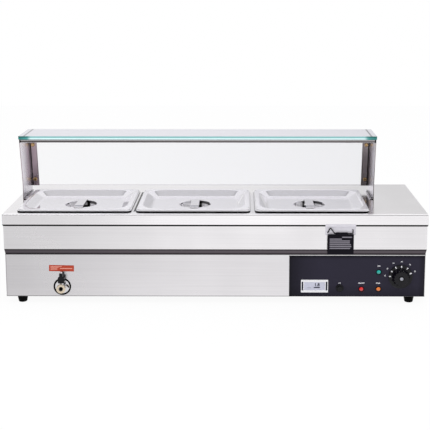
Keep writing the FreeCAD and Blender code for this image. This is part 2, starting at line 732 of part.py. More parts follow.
def screw(head, head_high, shank, length):
    """Round-headed screw with its head up and the underside of the head at the origin."""
    dome = Part.makeCylinder(head / 2, head_high)
    rim = [edge for edge in dome.Edges if edge.CenterOfMass.z > head_high * 0.9]
    dome = dome.makeFillet(head_high * 0.6, rim)
    return dome.fuse(Part.makeCylinder(shank / 2, length, Vector(0, 0, -length)))


def make_bolts():
    """Dome-headed bolts with nuts that hold the pane to the posts."""
    lean = pane_lean()
    turn = Rotation(Vector(1, 0, 0), 90 + lean)
    grip = num("post_skin+pane_thick") * math.cos(math.radians(lean))
    shank, solids = num("bolt_round"), []
    for x, height in BOLT_PLACES:
        bolt = screw(2 * shank, 0.6 * shank, shank, grip + shank)
        nut = Part.makeCylinder(0.9 * shank, 0.8 * shank, Vector(0, 0, -grip - 0.8 * shank))
        bolt = bolt.fuse(nut).removeSplitter()
        y = pane_face(num(height)) - num("post_skin")
        bolt.Placement = Placement(Vector(num(x), y, num("deck_top+" + height)), turn)
        solids.append(bolt)
    add_group("pane_bolts", solids)


def make_small_screws():
    shank, head = num("screw_round"), num("screw_round*1.8")
    through = num("post_skin+sheet")
    tabs = []
    for x, y in TAB_SCREWS:
        one = screw(head, shank * 0.5, shank, through)
        one.translate(Vector(num(x), num(y), num("deck_top+post_skin")))
        tabs.append(one)
    add_group("post_screws", tabs)
    feet = []
    shank, head = num("foot_bolt"), num("foot_bolt*1.8")
    for x, y in FOOT_PLACES:
        one = screw(head, shank * 0.5, shank, num("body_bottom*2/3+sheet"))
        one.rotate(Vector(), Vector(1, 0, 0), 180)
        one.translate(Vector(num(x), num(y), num("body_bottom/3")))
        feet.append(one)
    add_group("foot_screws", feet)


# Control panel

def turned(label, x, z, profile):
    """Round piece on a line that runs front to back; points are (radius, forward)."""
    body = new_body(label)
    sketch = sketch_on(body, "XY_Plane", x, level=z)
    outline(sketch, [(radius, "-(%s)" % forward) for radius, forward in profile])
    revolve(body, sketch)
    return body


LAMPS = {"red": ("red_x", "lamp_low"), "orange": ("orange_x", "lamp_low"),
         "green": ("orange_x", "lamp_high")}


def make_control_panel():
    body = new_body("control_panel")
    sketch = sketch_on(body, "XZ_Plane", "panel_x", "panel_low+panel_high/2", FRONT_WALL)
    rectangle(sketch, "panel_long", "panel_high")
    pad(body, sketch, "panel_thick")
    window = sketch_on(body, "XZ_Plane", "meter_x", "meter_z", PANEL_FACE)
    rectangle(window, "meter_long-8", "meter_high-8")
    pocket(body, window, "2*panel_thick")
    holes = [("button_round+4", "button_x", "button_z"), ("bushing", "dial_x", "dial_z")]
    holes += [("lamp_round-2", x, z) for x, z in LAMPS.values()]
    for size, x, z in holes:
        cut_round(body, "XZ_Plane", size + "+4*play", x, z, PANEL_FACE, "2*panel_thick")


def make_meter():
    bezel = new_body("meter_bezel")
    sketch = sketch_on(bezel, "XZ_Plane", "meter_x", "meter_z", PANEL_FACE)
    rectangle(sketch, "meter_long", "meter_high")
    pad(bezel, sketch, "bezel_high")
    face = num(PANEL_FACE) + num("bezel_high")
    fillet(bezel, lambda edge: all(abs(v.Point.y + face) < 0.01 for v in edge.Vertexes),
           "bezel_high/3")
    window = sketch_on(bezel, "XZ_Plane", "meter_x", "meter_z", PANEL_FACE + "+bezel_high")
    rectangle(window, "lcd_long", "lcd_high")
    pocket(bezel, window, "bezel_high*0.6")
    case = sketch_on(bezel, "XZ_Plane", "meter_x", "meter_z", PANEL_FACE)
    rectangle(case, "meter_long-9", "meter_high-9")
    pad(bezel, case, "meter_high/2", True)
    glass = new_body("meter_window")
    sketch = sketch_on(glass, "XZ_Plane", "meter_x", "meter_z", PANEL_FACE + "+bezel_high*0.4")
    rectangle(sketch, "lcd_long-4*play", "lcd_high-4*play")
    pad(glass, sketch, "bezel_high*0.3")


def make_button():
    radius, face = "button_round/2", PANEL_FACE
    turned("reset_button", "button_x", "button_z", [
        ("0", face + "-button_stem"), (radius, face + "-button_stem"),
        (radius, face + "+button_high-bevel"), (radius + "-bevel", face + "+button_high"),
        ("0", face + "+button_high+bevel/2"),
    ])
    bore, outer, back = radius + "+fit", radius + "+guide_wall", face + "-button_stem"
    turned("button_collar", "button_x", "button_z", [
        ("0", back + "-6*button_travel"), (outer, back + "-6*button_travel"), (outer, face),
        (radius + "+button_rim", face), (radius + "+button_rim", face + "+guide_wall"),
        (radius + "+button_rim-bevel", face + "+button_high/2"), (bore, face + "+button_high/2"),
        (bore, back + "-1.2*button_travel"), ("0", back + "-1.2*button_travel"),
    ])


def make_lamps():
    face, collars = PANEL_FACE, []
    for name, (x, z) in LAMPS.items():
        radius = "lamp_round/2"
        turned("lamp_" + name, x, z, [
            ("0", face + "-lamp_round"), (radius + "-bevel", face + "-lamp_round"),
            (radius + "-bevel", face), (radius, face), (radius, face + "+lens_rim"),
            (radius + "*0.85", face + "+2*lens_rim"), (radius + "*0.5", face + "+lens_high-3*play"),
            ("0", face + "+lens_high"),
        ])
        outer = Part.makeCylinder(num("lamp_round/2+collar_wide"), num("collar_thick"))
        collar = outer.cut(Part.makeCylinder(num("lamp_round/2+play"), num("collar_thick")))
        collar.rotate(Vector(), Vector(1, 0, 0), 90)
        collar.translate(Vector(num(x), -num(face), num(z)))
        collars.append(collar)
    add_group("lamp_collars", collars)


def make_dial():
    """Knob with a flat skirt and a fluted grip, its shaft and the thermostat behind it."""
    face, shaft = PANEL_FACE, "shaft_round/2"
    seat = face + "+dial_high-dial_bevel"
    knob = turned("dial_knob", "dial_x", "dial_z", [
        (shaft + "+fit", face + "+dial_gap"), ("dial_round/2", face + "+dial_gap"),
        ("dial_round/2", face + "+dial_gap+skirt_edge"),
        ("dial_round/2-dial_bevel", face + "+dial_gap+skirt_high"),
        ("grip_base/2", face + "+dial_gap+skirt_high"), ("grip_top/2", seat),
        ("grip_top/2-dial_bevel", face + "+dial_high"), ("cap_round/2", face + "+dial_high"),
        ("cap_round/2", seat), ("0", seat),
        ("0", face + "+dial_high/2"), (shaft + "+fit", face + "+dial_high/2"),
    ])
    flute = sketch_on(knob, "XZ_Plane", "dial_x", "dial_z", face + "+dial_high")
    circle(flute, "grip_top/6", "0", "grip_base/2+flute_out")
    cut = pocket(knob, flute, "dial_high-dial_gap-skirt_high")
    flutes = knob.newObject("PartDesign::PolarPattern", "Flutes")
    flutes.Originals = [cut]
    flutes.Axis = (flute, ["N_Axis"])
    flutes.Angle = 360
    flutes.Occurrences = 16
    knob.Tip = flutes
    turned("dial_cap", "dial_x", "dial_z", [
        ("0", seat), ("cap_round/2-play", seat), ("cap_round/2-play", face + "+dial_high"),
        ("cap_round/2-bevel", face + "+dial_high+cap_over"), ("0", face + "+dial_high+cap_over"),
    ])
    turned("dial_shaft", "dial_x", "dial_z", [
        ("0", face + "-case_deep"), (shaft, face + "-case_deep"),
        (shaft, face + "+dial_high/2"), ("0", face + "+dial_high/2"),
    ])
    case = new_body("thermostat")
    block = sketch_on(case, "XZ_Plane", "dial_x", "dial_z", face + "-panel_thick")
    rectangle(block, "case_wide", "case_wide")
    pad(case, block, "case_deep", True)
    neck = sketch_on(case, "XZ_Plane", "dial_x", "dial_z", face + "-panel_thick")
    circle(neck, "bushing")
    pad(case, neck, "panel_thick+dial_gap/2")
    cut_round(case, "XZ_Plane", "shaft_round+2*fit", "dial_x", "dial_z", face + "+dial_gap/2",
              "case_deep+dial_gap")


def make_sensor():
    """Bulb in the water and the capillary that runs from it to the thermostat."""
    level, y = num("tank_floor+2*lip"), num("well_y")
    wall = num("well_x+tank_long/2")
    back = num("panel_thick+case_deep") - num(PANEL_FACE)
    away = num("dial_x-case_wide/4")
    tube = [Vector(wall - num("bulb_back"), y, level), Vector(wall + num("tube_out"), y, level),
            Vector(away, y - num("tube_side"), level), Vector(away, back, level)]
    sensor = pipe_along("sensor", tube, num("tube_bend"), num("capillary_round"))
    bulb = Part.makeCylinder(num("capillary_round*1.2"), num("tank_long/12"), tube[0],
                             Vector(-1, 0, 0))
    sensor.Shape = sensor.Shape.fuse(bulb).removeSplitter()


def make_terminal_block():
    block = make_box("terminal_block", "gland_x+4*lip", "deck_depth/4", "body_bottom+sheet",
                     "5*lip", "2*lip", "1.5*lip")
    hole = sketch_on(block, "XY_Plane", "gland_x+2*lip", "deck_depth/4-lip/2",
                     "body_bottom+sheet+1.5*lip")
    circle(hole, "lip/2")
    cut = pocket(block, hole, "lip/2")
    row = block.newObject("PartDesign::LinearPattern", "Row")
    row.Originals = [cut]
    row.Direction = (hole, ["H_Axis"])
    bind(row, "Length", "4*lip")
    row.Occurrences = 5
    block.Tip = row


# Drain valve

def make_drain():
    wall, line = FRONT_WALL, VALVE_LINE
    bore, tip = "outlet_bore/2", "(deck_depth/2-body_inset+outlet_reach)"
    turned("drain_seal", "drain_x", "drain_z", [
        ("rosette_round/2+play", wall), ("seal_round/2", wall),
        ("seal_round/2", wall + "+seal_thick/2"),
        ("seal_round/2-seal_thick/2", wall + "+seal_thick"),
        ("rosette_round/2+play", wall + "+seal_thick"),
    ])
    turned("drain_rosette", "drain_x", "drain_z", [
        ("valve_round/2+play", wall), ("rosette_round/2", wall),
        ("rosette_round/2", wall + "+rosette_edge"),
        ("rosette_round/2-bevel", wall + "+rosette_high"),
        ("rosette_round/2-4*bevel", wall + "+rosette_edge+play"),
        ("valve_round/2+play", wall + "+rosette_high-play"),
    ])
    body = turned("valve_body", "drain_x", "drain_z", [
        (bore + "-bore_step", wall + "-sheet"), ("valve_round/2-2*play", wall + "-sheet"),
        ("valve_round/2-2*play", tip + "-nut_long"), ("valve_round/2-thread", tip + "-nut_long"),
        ("valve_round/2-thread", tip + "-nut_long+thread"),
        (bore + "-bore_step", tip + "-nut_long+thread"),
    ])
    boss = sketch_on(body, "XY_Plane", "drain_x", "-" + line, "drain_z+ball_round/2")
    circle(boss, "ball_round*0.7")
    pad(body, boss, "ball_round/3")
    chamber = body.newObject("PartDesign::SubtractiveSphere", "Chamber")
    bind(chamber, "Radius", "ball_round/2+fit")
    for axis, formula in zip("xyz", ("drain_x", "-" + line, "drain_z")):
        bind(chamber, "Placement.Base." + axis, formula)
    cut_round(body, "XY_Plane", "shaft_round+2*fit", "drain_x", "-" + line,
              "drain_z+ball_round", "ball_round")
    ball = new_body("valve_ball")
    sphere = ball.newObject("PartDesign::AdditiveSphere", "Sphere")
    bind(sphere, "Radius", "ball_round/2")
    for axis, formula in zip("xyz", ("drain_x", "-" + line, "drain_z")):
        bind(sphere, "Placement.Base." + axis, formula)
    cut_round(ball, "YZ_Plane", "outlet_bore-2*bore_step", "-" + line, "drain_z",
              "drain_x+ball_round", "2*ball_round")
    cut_round(ball, "XY_Plane", "shaft_round+play", "drain_x", "-" + line,
              "drain_z+ball_round", "ball_round/2+stem_seat")
    stem = doc.addObject("Part::Cylinder", "Valve_stem")
    stem.Label = "valve_stem"
    bind(stem, "Radius", "shaft_round/2")
    bind(stem, "Height", "ball_round/3+stem_seat+seat_gap+handle_high+neck_high+stem_over")
    for axis, formula in zip("xyz", ("drain_x", "-" + line, "drain_z+ball_round/2-stem_seat")):
        bind(stem, "Placement.Base." + axis, formula)
    sub_parts.append(stem)
    make_valve_handle(line)
    thread = "valve_round/2-thread+play"
    turned("outlet_nut", "drain_x", "drain_z", [
        (thread, tip + "-nut_long+play"), ("outlet_round/2-bevel", tip + "-nut_long+play"),
        ("outlet_round/2", tip + "-nut_long+bevel"), ("outlet_round/2", tip + "-bevel"),
        ("outlet_round/2-bevel", tip), (bore, tip), (bore, tip + "-nut_long+thread+play"),
        (thread, tip + "-nut_long+thread+play"),
    ])


def make_valve_handle(line):
    """Key-shaped handle on the stem: narrow foot, wide shoulders and a neck above them."""
    handle = new_body("valve_handle")
    base = "drain_z+ball_round*5/6+seat_gap"
    wide, high, neck = "handle_wide/2", "handle_high", "neck_wide/2"
    front = sketch_on(handle, "XZ_Plane", "drain_x", base, line)
    outline(front, [
        ("-%s*0.7" % wide, "0"), (wide + "*0.7", "0"), (wide, high + "*0.45"),
        (wide + "*0.9", high), (neck, high), (neck + "*0.9", high + "+neck_high"),
        ("-%s*0.9" % neck, high + "+neck_high"), ("-" + neck, high),
        ("-%s*0.9" % wide, high), ("-" + wide, high + "*0.45"),
    ])
    pad(handle, front, "shaft_round*1.6", both=True)
    fillet(handle, lambda edge: edge.Length > num("shaft_round*1.5") and is_across(edge),
           "handle_edge")
    cut_round(handle, "XY_Plane", "shaft_round+play", "drain_x", "-" + line,
              base + "+handle_high+neck_high", "2*handle_high+neck_high")


def make_red_plate():
    body = new_body("drain_plate")
    sketch = sketch_on(body, "XZ_Plane", "plate_x", "plate_z", FRONT_WALL)
    rectangle(sketch, "plate_long", "plate_high")
    pad(body, sketch, "card_skin")
    middle = Vector(num("plate_x"), 0, num("plate_z"))
    body.Placement = Placement(Vector(), Rotation(Vector(0, 1, 0), 0.9), middle)


# Card that hangs from a clip on the front flange

def make_tag():
    band = "(deck_depth/2-band_inset)"
    clip = new_body("tag_clip")
    side = sketch_on(clip, "YZ_Plane", level="tag_x-clip_long/2")
    edge_top = "deck_top-flange_height-2*sheet-seat_gap"
    front, flange = "-(%s+clip_skin)" % band, "(deck_depth/2+play)"
    outline(side, [
        (front, "clip_top-clip_high"), ("-%s" % band, "clip_top-clip_high"),
        ("-%s" % band, edge_top), ("-" + flange, edge_top), ("-" + flange, "clip_top+clip_skin"),
        ("-(%s+clip_skin)" % flange, "clip_top+clip_skin"),
        ("-(%s+clip_skin)" % flange, edge_top + "-clip_skin"), (front, edge_top + "-clip_skin"),
    ])
    pad(clip, side, "clip_long")
    make_tag_wire(num(band))
    card = new_body("tag_card")
    loop = sketch_on(card, "YZ_Plane", "-(%s+tag_reach)" % band, "card_top+wire", "tag_x+wire")
    circle(loop, "wire*2.2")
    circle(loop, "wire+2*fit")
    pad(card, loop, "card_long*0.45", both=True)
    leaf = sketch_on(card, "YZ_Plane", level="tag_x")
    middle = "(%s+tag_reach)" % band
    outline(leaf, [
        ("-(%s+card_skin/2)" % middle, "card_top-card_high"),
        ("-(%s-card_skin/2)" % middle, "card_top-card_high"),
        ("-(%s-card_skin/2)" % middle, "card_top+wire*0.3"),
        ("-(%s+card_skin/2)" % middle, "card_top+wire*0.3"),
    ])
    pad(card, leaf, "card_long", both=True)


def make_tag_wire(band):
    """Bent wire: back into the clip, up to a peak, down, along the bar and up again."""
    y_clip, y_bar = -(band + num("clip_skin")), -(band + num("tag_reach"))
    low = num("card_top+wire")
    left, right = num("tag_x-clip_long*0.42"), num("tag_x+clip_long*0.4")
    start, end = low + num("hook_low"), low + num("hook_end")
    points = [Vector(left, y_clip, start), Vector(left, y_bar, start),
              Vector(left + num("hook_up"), y_bar, low + num("hook_high")),
              Vector(left + num("hook_down"), y_bar, low), Vector(right, y_bar, low),
              Vector(right, y_bar, end), Vector(right, y_clip, end)]
    pipe_along("tag_wire", points, num("wire_bend"), num("wire"))


def make_gland():
    """Cord gland in the back wall, with the nut that locks it from inside."""
    wall = "(-" + FRONT_WALL + ")"
    turned("cord_gland", "gland_x", "gland_z", [
        ("cord_round/2+bore_step", wall + "+lip"), ("gland_stem/2", wall + "+lip"),
        ("gland_stem/2", wall + "+sheet+nut_thick"), ("gland_nut/2", wall + "+sheet+nut_thick"),
        ("gland_nut/2", wall + "+sheet"), ("gland_stem/2", wall + "+sheet"),
        ("gland_stem/2", wall), ("gland_cap/2", wall), ("gland_cap/2", wall + "-nut_thick"),
        ("gland_neck/2", wall + "-nut_thick-bevel"), ("gland_neck/2", wall + "-gland_reach*0.7"),
        ("gland_stem/3", wall + "-gland_reach"), ("cord_round/2", wall + "-gland_reach"),
        ("cord_round/2", wall + "-cord_grip"), ("cord_round/2+bore_step", wall + "-cord_grip"),
    ])


def build():
    fill_sheet()
    make_top_deck()
    make_upper_housing()
    make_deck_seal()
    make_lower_housing()
    make_front_panel()
    make_base_plate()
    make_feet()
    make_water_tank()
    make_pan_bars()
    make_heater()
    make_drain_pipe()
    make_bushings()
    for name, x in PAN_PLACES.items():
        make_pan(name, x)
        make_lid(name, x)
        make_strap(name, x)
    make_upright("left", "guard_left", False)
    make_upright("right", "guard_right", True)
    make_rear_pane()
    make_shelf()
    make_bolts()
    make_small_screws()
    make_control_panel()
    make_meter()
    make_button()
    make_lamps()
    make_dial()
    make_sensor()
    make_terminal_block()
    make_drain()
    make_red_plate()
    make_tag()
    make_gland()
    doc.recompute()


def check_and_export():
    faulty = [o.Label for o in doc.Objects if {"Invalid", "Error"} & set(o.State)]
    for item in sub_parts:
        if item.Shape.isNull() or not item.Shape.isValid():
            faulty.append(item.Label)
    if faulty:
        raise ValueError("faulty: " + ", ".join(faulty))
    os.makedirs("parts", exist_ok=True)
    for item in sub_parts:
        item.Shape.exportStep("parts/%s.step" % item.Label)
    print(len(sub_parts), "sub-parts written")


build()
check_and_export()
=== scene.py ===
import math

import bmesh
import bpy
from mathutils import Matrix, Vector


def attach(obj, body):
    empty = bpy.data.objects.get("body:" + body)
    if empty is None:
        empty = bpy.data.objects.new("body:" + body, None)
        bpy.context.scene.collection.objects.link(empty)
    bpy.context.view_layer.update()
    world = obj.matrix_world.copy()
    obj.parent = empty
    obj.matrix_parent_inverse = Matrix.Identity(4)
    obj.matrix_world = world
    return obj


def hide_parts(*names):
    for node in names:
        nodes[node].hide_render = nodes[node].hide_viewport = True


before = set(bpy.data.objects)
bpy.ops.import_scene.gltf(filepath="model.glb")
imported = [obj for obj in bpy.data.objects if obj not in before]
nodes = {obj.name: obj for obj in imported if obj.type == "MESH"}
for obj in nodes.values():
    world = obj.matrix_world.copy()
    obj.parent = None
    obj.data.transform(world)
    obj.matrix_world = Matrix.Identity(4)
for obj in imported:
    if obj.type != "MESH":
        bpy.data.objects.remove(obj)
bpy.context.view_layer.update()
print("frame loaded:", len(nodes), "nodes")

# lengths in metres, turned profiles in millimetres; x to the right, y to the back, z up
deck = {"wide": 1.2, "deep": 0.4, "top": 0.26, "flange": 0.03, "sheet": 0.0015, "corner": 0.003,
        "edge": 0.0021, "mouthEdge": 0.0012}
well = {"x": -0.0635, "y": -0.0395, "long": 0.982, "deep": 0.245, "lip": 0.009, "pitch": 0.3385}
sides = {"left": -well["pitch"], "middle": 0.0, "right": well["pitch"]}
shelf = {"left": -0.582, "right": 0.472, "front": -0.045, "back": 0.088, "low": 0.447,
         "thick": 0.010, "corner": 0.002, "edge": 0.0006}
lidMiddles = [well["x"] + side for side in sides.values()]
ink = {"thick": 0.0001, "edge": 0.00005}  # of printed figures and rules


# small tools for modelling by operator

def clearSelection():
    if bpy.context.mode != "OBJECT":
        bpy.ops.object.mode_set(mode="OBJECT")
    bpy.ops.object.select_all(action="DESELECT")


def choose(piece):
    clearSelection()
    bpy.context.view_layer.objects.active = piece
    piece.select_set(True)


def startEdit(piece):
    choose(piece)
    bpy.ops.object.mode_set(mode="EDIT")
    selectAll()


def endEdit():
    bpy.ops.object.mode_set(mode="OBJECT")


def selectAll():
    bpy.ops.mesh.select_all(action="SELECT")


def pick(piece, kind, wanted):  # selects faces, edges or vertices by a test, in edit mode
    bpy.ops.mesh.select_mode(type=kind)
    bpy.ops.mesh.select_all(action="DESELECT")
    mesh = bmesh.from_edit_mesh(piece.data)
    mesh.normal_update()
    parts = {"FACE": mesh.faces, "EDGE": mesh.edges, "VERT": mesh.verts}[kind]
    for part in parts:
        part.select = bool(wanted(part))
    mesh.select_flush_mode()
    bmesh.update_edit_mesh(piece.data)


def dropFaces(piece, wanted):
    pick(piece, "FACE", wanted)
    bpy.ops.mesh.delete(type="FACE")


def roundEdges(piece, wanted, width, steps):
    pick(piece, "EDGE", wanted)
    bpy.ops.mesh.bevel(offset=width, segments=steps)


def extrude(x, y, z):
    bpy.ops.mesh.extrude_region_move(TRANSFORM_OT_translate={"value": (x, y, z)})


def cutThrough(place, across):
    selectAll()
    bpy.ops.mesh.bisect(plane_co=place, plane_no=across)


def middle(part):  # centre of a face or an edge
    points = [v.co for v in part.verts]
    return sum(points, Vector()) / len(points)


def upright(edge):
    first, last = (v.co for v in edge.verts)
    return abs(first.z - last.z) > 0.9 * (first - last).length


def atHeight(part, z, slack=0.0002):
    return all(abs(v.co.z - z) < slack for v in part.verts)


def inside(vert, long, deep, slack):  # in a rectangle round the middle of the well
    return (abs(vert.co.x - well["x"]) < long / 2 + slack
            and abs(vert.co.y - well["y"]) < deep / 2 + slack)


def applyPlace(piece):
    choose(piece)
    bpy.ops.object.transform_apply(location=True, rotation=True, scale=True)


def named(name):
    piece = bpy.context.object
    piece.name = piece.data.name = name
    return piece


def joined(name, parts):
    choose(parts[0])
    for part in parts:
        part.select_set(True)
    if len(parts) > 1:
        bpy.ops.object.join()
    return named(name)


def linked(piece):
    bpy.context.scene.collection.objects.link(piece)
    return piece


def copied(piece, name, shift=(0, 0, 0)):  # a copy with its own mesh
    twin = linked(piece.copy())
    twin.data = piece.data.copy()
    twin.name = twin.data.name = name
    twin.data.transform(Matrix.Translation(shift))
    return twin


def addModifier(piece, kind, **settings):
    choose(piece)
    modifier = piece.modifiers.new(kind.title(), kind)
    for key, value in settings.items():
        setattr(modifier, key, value)
    bpy.ops.object.modifier_apply(modifier=modifier.name)


def softened(piece, width, segments=2, degrees=40, smooth=35):  # rounds edges, shades smooth
    addModifier(piece, "BEVEL", width=width, segments=segments, limit_method="ANGLE",
                angle_limit=math.radians(degrees), use_clamp_overlap=True, harden_normals=False)
    return smoothed(piece, smooth)


def smoothed(piece, degrees=35):  # smooth shading in which the broad faces stay flat
    choose(piece)
    bpy.ops.object.shade_smooth_by_angle(angle=math.radians(degrees))
    addModifier(piece, "WEIGHTED_NORMAL", keep_sharp=True, weight=80)
    return piece


def weldAndFace(piece):  # merges doubles and turns every face outwards
    startEdit(piece)
    bpy.ops.mesh.remove_doubles(threshold=0.00002)
    bpy.ops.mesh.normals_make_consistent(inside=False)
    endEdit()


def flipFaces(piece):
    startEdit(piece)
    bpy.ops.mesh.flip_normals()
    endEdit()


def faceUp(piece, z):  # turns an open skin so that its faces at height z look up
    looks = [face.normal.z for face in piece.data.polygons if abs(face.center.z - z) < 0.0005]
    if looks and sum(looks) < 0:
        flipFaces(piece)


def dress(piece, finish):
    piece.data.materials.clear()
    piece.data.materials.append(finishes[finish])


def finished(piece, finish, slot, *replaced, body="cabinet"):
    dress(piece, finish)
    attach(piece, body)
    if replaced:
        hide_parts(*replaced)


def threeOf(first, name, body, finish, node):  # finishes the middle piece and its two copies
    for side in ("left", "right"):
        finished(copied(first, name + side.title(), (sides[side], 0, 0)), finish,
                 "polished_steel", node + side, body=body % side)
    finished(first, finish, "polished_steel", node + "middle", body=body % "middle")


def roundedOutline(z, wide, deep, corner):  # round the middle of the well
    clearSelection()
    bpy.ops.mesh.primitive_plane_add(size=1, location=(well["x"], well["y"], z))
    plate = named("outline")
    plate.scale = (wide, deep, 1)
    applyPlace(plate)
    startEdit(plate)
    bpy.ops.mesh.bevel(offset=corner, segments=8, affect="VERTICES")
    endEdit()
    return plate


def circleOutline(z, radius):
    clearSelection()
    sides = 36
    bpy.ops.mesh.primitive_circle_add(vertices=sides, radius=radius, fill_type="NGON",
                                      location=(well["x"], well["y"], z),
                                      rotation=(0, 0, math.pi / sides))
    ring = named("outline")
    applyPlace(ring)
    return ring


def bandBetween(first, second):  # a strip of faces from one outline to the next
    strip = joined("strip", [copied(first, "lower"), copied(second, "upper")])
    startEdit(strip)
    bpy.ops.mesh.delete(type="ONLY_FACE")
    selectAll()
    bpy.ops.mesh.bridge_edge_loops()
    endEdit()
    return strip


def skinThrough(name, outlines):  # strips through a row of outlines, the last one closed
    strips = [bandBetween(a, b) for a, b in zip(outlines, outlines[1:])]
    strips.append(outlines[-1])
    for outline in outlines[:-1]:
        bpy.data.objects.remove(outline)
    shape = joined(name, strips)
    weldAndFace(shape)
    return shape


def block(name, low, high):
    clearSelection()
    centre = [(a + b) / 2 for a, b in zip(low, high)]
    bpy.ops.mesh.primitive_cube_add(size=1, location=centre)
    piece = named(name)
    piece.scale = [b - a for a, b in zip(low, high)]
    applyPlace(piece)
    return piece


def lathe(name, centre, base, profile, sides=40, front=True, bored=False):
    # profile of (radius, reach beyond the base) in millimetres; front: turned about y, not z
    rings = [(radius / 1000, base + reach / 1000) for radius, reach in profile]
    clearSelection()
    bpy.ops.mesh.primitive_circle_add(vertices=sides, radius=rings[0][0], fill_type="NGON",
                                      location=(0, 0, rings[0][1]))
    piece = named(name)
    applyPlace(piece)
    startEdit(piece)
    for (was, low), (now, high) in zip(rings, rings[1:]):
        extrude(0, 0, high - low)
        bpy.ops.transform.resize(value=(now / was, now / was, 1), center_override=(0, 0, high))
    if bored:  # the last ring runs through to the first
        dropFaces(piece, lambda face: len(face.verts) == sides)
        pick(piece, "EDGE", lambda edge: len(edge.link_faces) == 1)
        bpy.ops.mesh.bridge_edge_loops()
    endEdit()
    if front:
        piece.rotation_euler = (math.pi / 2, 0, 0)
        piece.location = (centre[0], 0, centre[1])
    else:
        piece.location = (centre[0], centre[1], 0)
    applyPlace(piece)
    weldAndFace(piece)
    return piece


def turned(name, centre, base, profile, sides, *use, degrees=30, body="cabinet", **how):
    piece = lathe(name, centre, base, profile, sides, **how)
    finished(smoothed(piece, degrees), *use, body=body)


def rodThrough(name, points, radius, sides=12):  # round rod along a row of points
    clearSelection()
    path = bpy.data.curves.new(name, "CURVE")
    path.dimensions = "3D"
    path.bevel_depth = radius
    path.bevel_resolution = sides // 2 - 2
    path.use_fill_caps = True
    run = path.splines.new("POLY")
    run.points.add(len(points) - 1)
    for point, place in zip(run.points, points):
        point.co = (*place, 1)
    choose(linked(bpy.data.objects.new(name, path)))
    bpy.ops.object.convert(target="MESH")
    rod = named(name)
    weldAndFace(rod)
    return rod


def lettering(words, place, size, depth, turn=0.0, bold=0.0):  # raised text facing the front
    clearSelection()
    bpy.ops.object.text_add(location=(0, 0, 0))
    text = bpy.context.object.data
    text.body, text.size, text.extrude, text.offset = words, size, depth, bold
    text.align_x = text.align_y = "CENTER"
    text.resolution_u = 3
    bpy.ops.object.convert(target="MESH")
    text = named("figure")
    text.rotation_euler = (math.pi / 2, turn, 0)
    text.location = place
    applyPlace(text)
    return text


def rulesOn(name, centre, front, rows, finish, body):  # rows of (left, right, low, high) in mm
    bars = [block("rule", (centre + left / 1000, front - ink["thick"], low / 1000),
                  (centre + right / 1000, front, high / 1000)) for left, right, low, high in rows]
    finished(softened(joined(name, bars), ink["edge"], 1), finish, "white_plastic", body=body)


def refined(node, name, width, segments=2):  # merged copy of a CAD piece with its edges rounded
    piece = copied(nodes[node], name)
    weldAndFace(piece)
    startEdit(piece)
    bpy.ops.mesh.dissolve_limited(angle_limit=math.radians(1))
    endEdit()
    return softened(piece, width, segments)


# finishes

def newFinish():
    finish = bpy.data.materials.new("finish")
    finish.use_nodes = True
    return finish, finish.node_tree, finish.node_tree.nodes["Principled BSDF"]


def feed(tree, node, inputs):  # sets a node's inputs, and links those that get an output
    for socket, value in inputs.items():
        if isinstance(value, bpy.types.NodeSocket):
            tree.links.new(value, node.inputs[socket])
        else:
            node.inputs[socket].default_value = value


def addNode(tree, kind, inputs=(), **settings):
    node = tree.nodes.new("ShaderNode" + kind)
    for key, value in settings.items():
        setattr(node, key, value)
    feed(tree, node, dict(inputs))
    return node


def patternBy(tree, stretch, detail=3.0):  # noise on Object coordinates, stretched by axis
    place = addNode(tree, "TexCoord")
    mapping = addNode(tree, "Mapping", {"Vector": place.outputs["Object"], "Scale": stretch})
    noise = addNode(tree, "TexNoise", {
        "Vector": mapping.outputs["Vector"], "Scale": 1.0, "Detail": detail, "Roughness": 0.55})
    return noise.outputs["Fac"]


def relief(tree, shader, height, strength, distance=0.0002):
    bump = addNode(tree, "Bump", {"Strength": strength, "Distance": distance, "Height": height})
    feed(tree, shader, {"Normal": bump.outputs["Normal"]})


def rampOf(tree, source, stops):  # stops of (position, tone), a tone being a grey or a colour
    ramp = addNode(tree, "ValToRGB", {"Fac": source})
    marks = ramp.color_ramp.elements
    while len(marks) < len(stops):
        marks.new(0.5)
    for mark, (position, tone) in zip(marks, stops):
        mark.position = position
        mark.color = (tone, tone, tone, 1) if isinstance(tone, float) else (*tone, 1)
    return ramp.outputs["Color"]


def alongAxis(tree, axis, start, end, source="Object"):  # 0 to 1, by place or by the normal
    place = addNode(tree, "NewGeometry" if source == "Normal" else "TexCoord")
    split = addNode(tree, "SeparateXYZ", {0: place.outputs[source]})
    span = addNode(tree, "MapRange",
                   {"Value": split.outputs[axis], "From Min": start, "From Max": end})
    return span.outputs["Result"]


def byPlace(tree, axis, start, end, stops, source="Object"):
    return rampOf(tree, alongAxis(tree, axis, start, end, source), stops)


def laidOver(tree, first, second, mode="MULTIPLY", share=1.0):  # one colour over another
    blend = addNode(tree, "Mix", data_type="RGBA", blend_type=mode)
    feed(tree, blend, {"Factor": share, 6: first, 7: second})
    return blend.outputs[2]


def shaded(tree, colour, shades):
    for shade in shades:
        colour = laidOver(tree, colour, byPlace(tree, *shade))
    return colour


def metalFinish(tone, rough, stretch, strength, *shades, spread=0.02, cloudy=0.03,
                dulled=None, paintedShade=None):
    finish, tree, shader = newFinish()
    grain = patternBy(tree, stretch)
    relief(tree, shader, grain, strength)
    colour = rampOf(tree, grain, [(0.35, tuple(c - spread for c in tone)),
                                  (0.65, tuple(min(1.0, c + spread) for c in tone))])
    # painted shade and painted reflection laid over the colour
    if paintedShade:
        colour = laidOver(tree, colour, paintedShade(tree))
    wear = rampOf(tree, patternBy(tree, (7, 7, 7), 2.0),
                  [(0.35, max(0.02, rough - cloudy)), (0.65, rough + cloudy)])
    feed(tree, shader, {"Metallic": dulled(tree) if dulled else 1.0, "Roughness": wear,
                        "Base Color": shaded(tree, colour, shades)})
    return finish


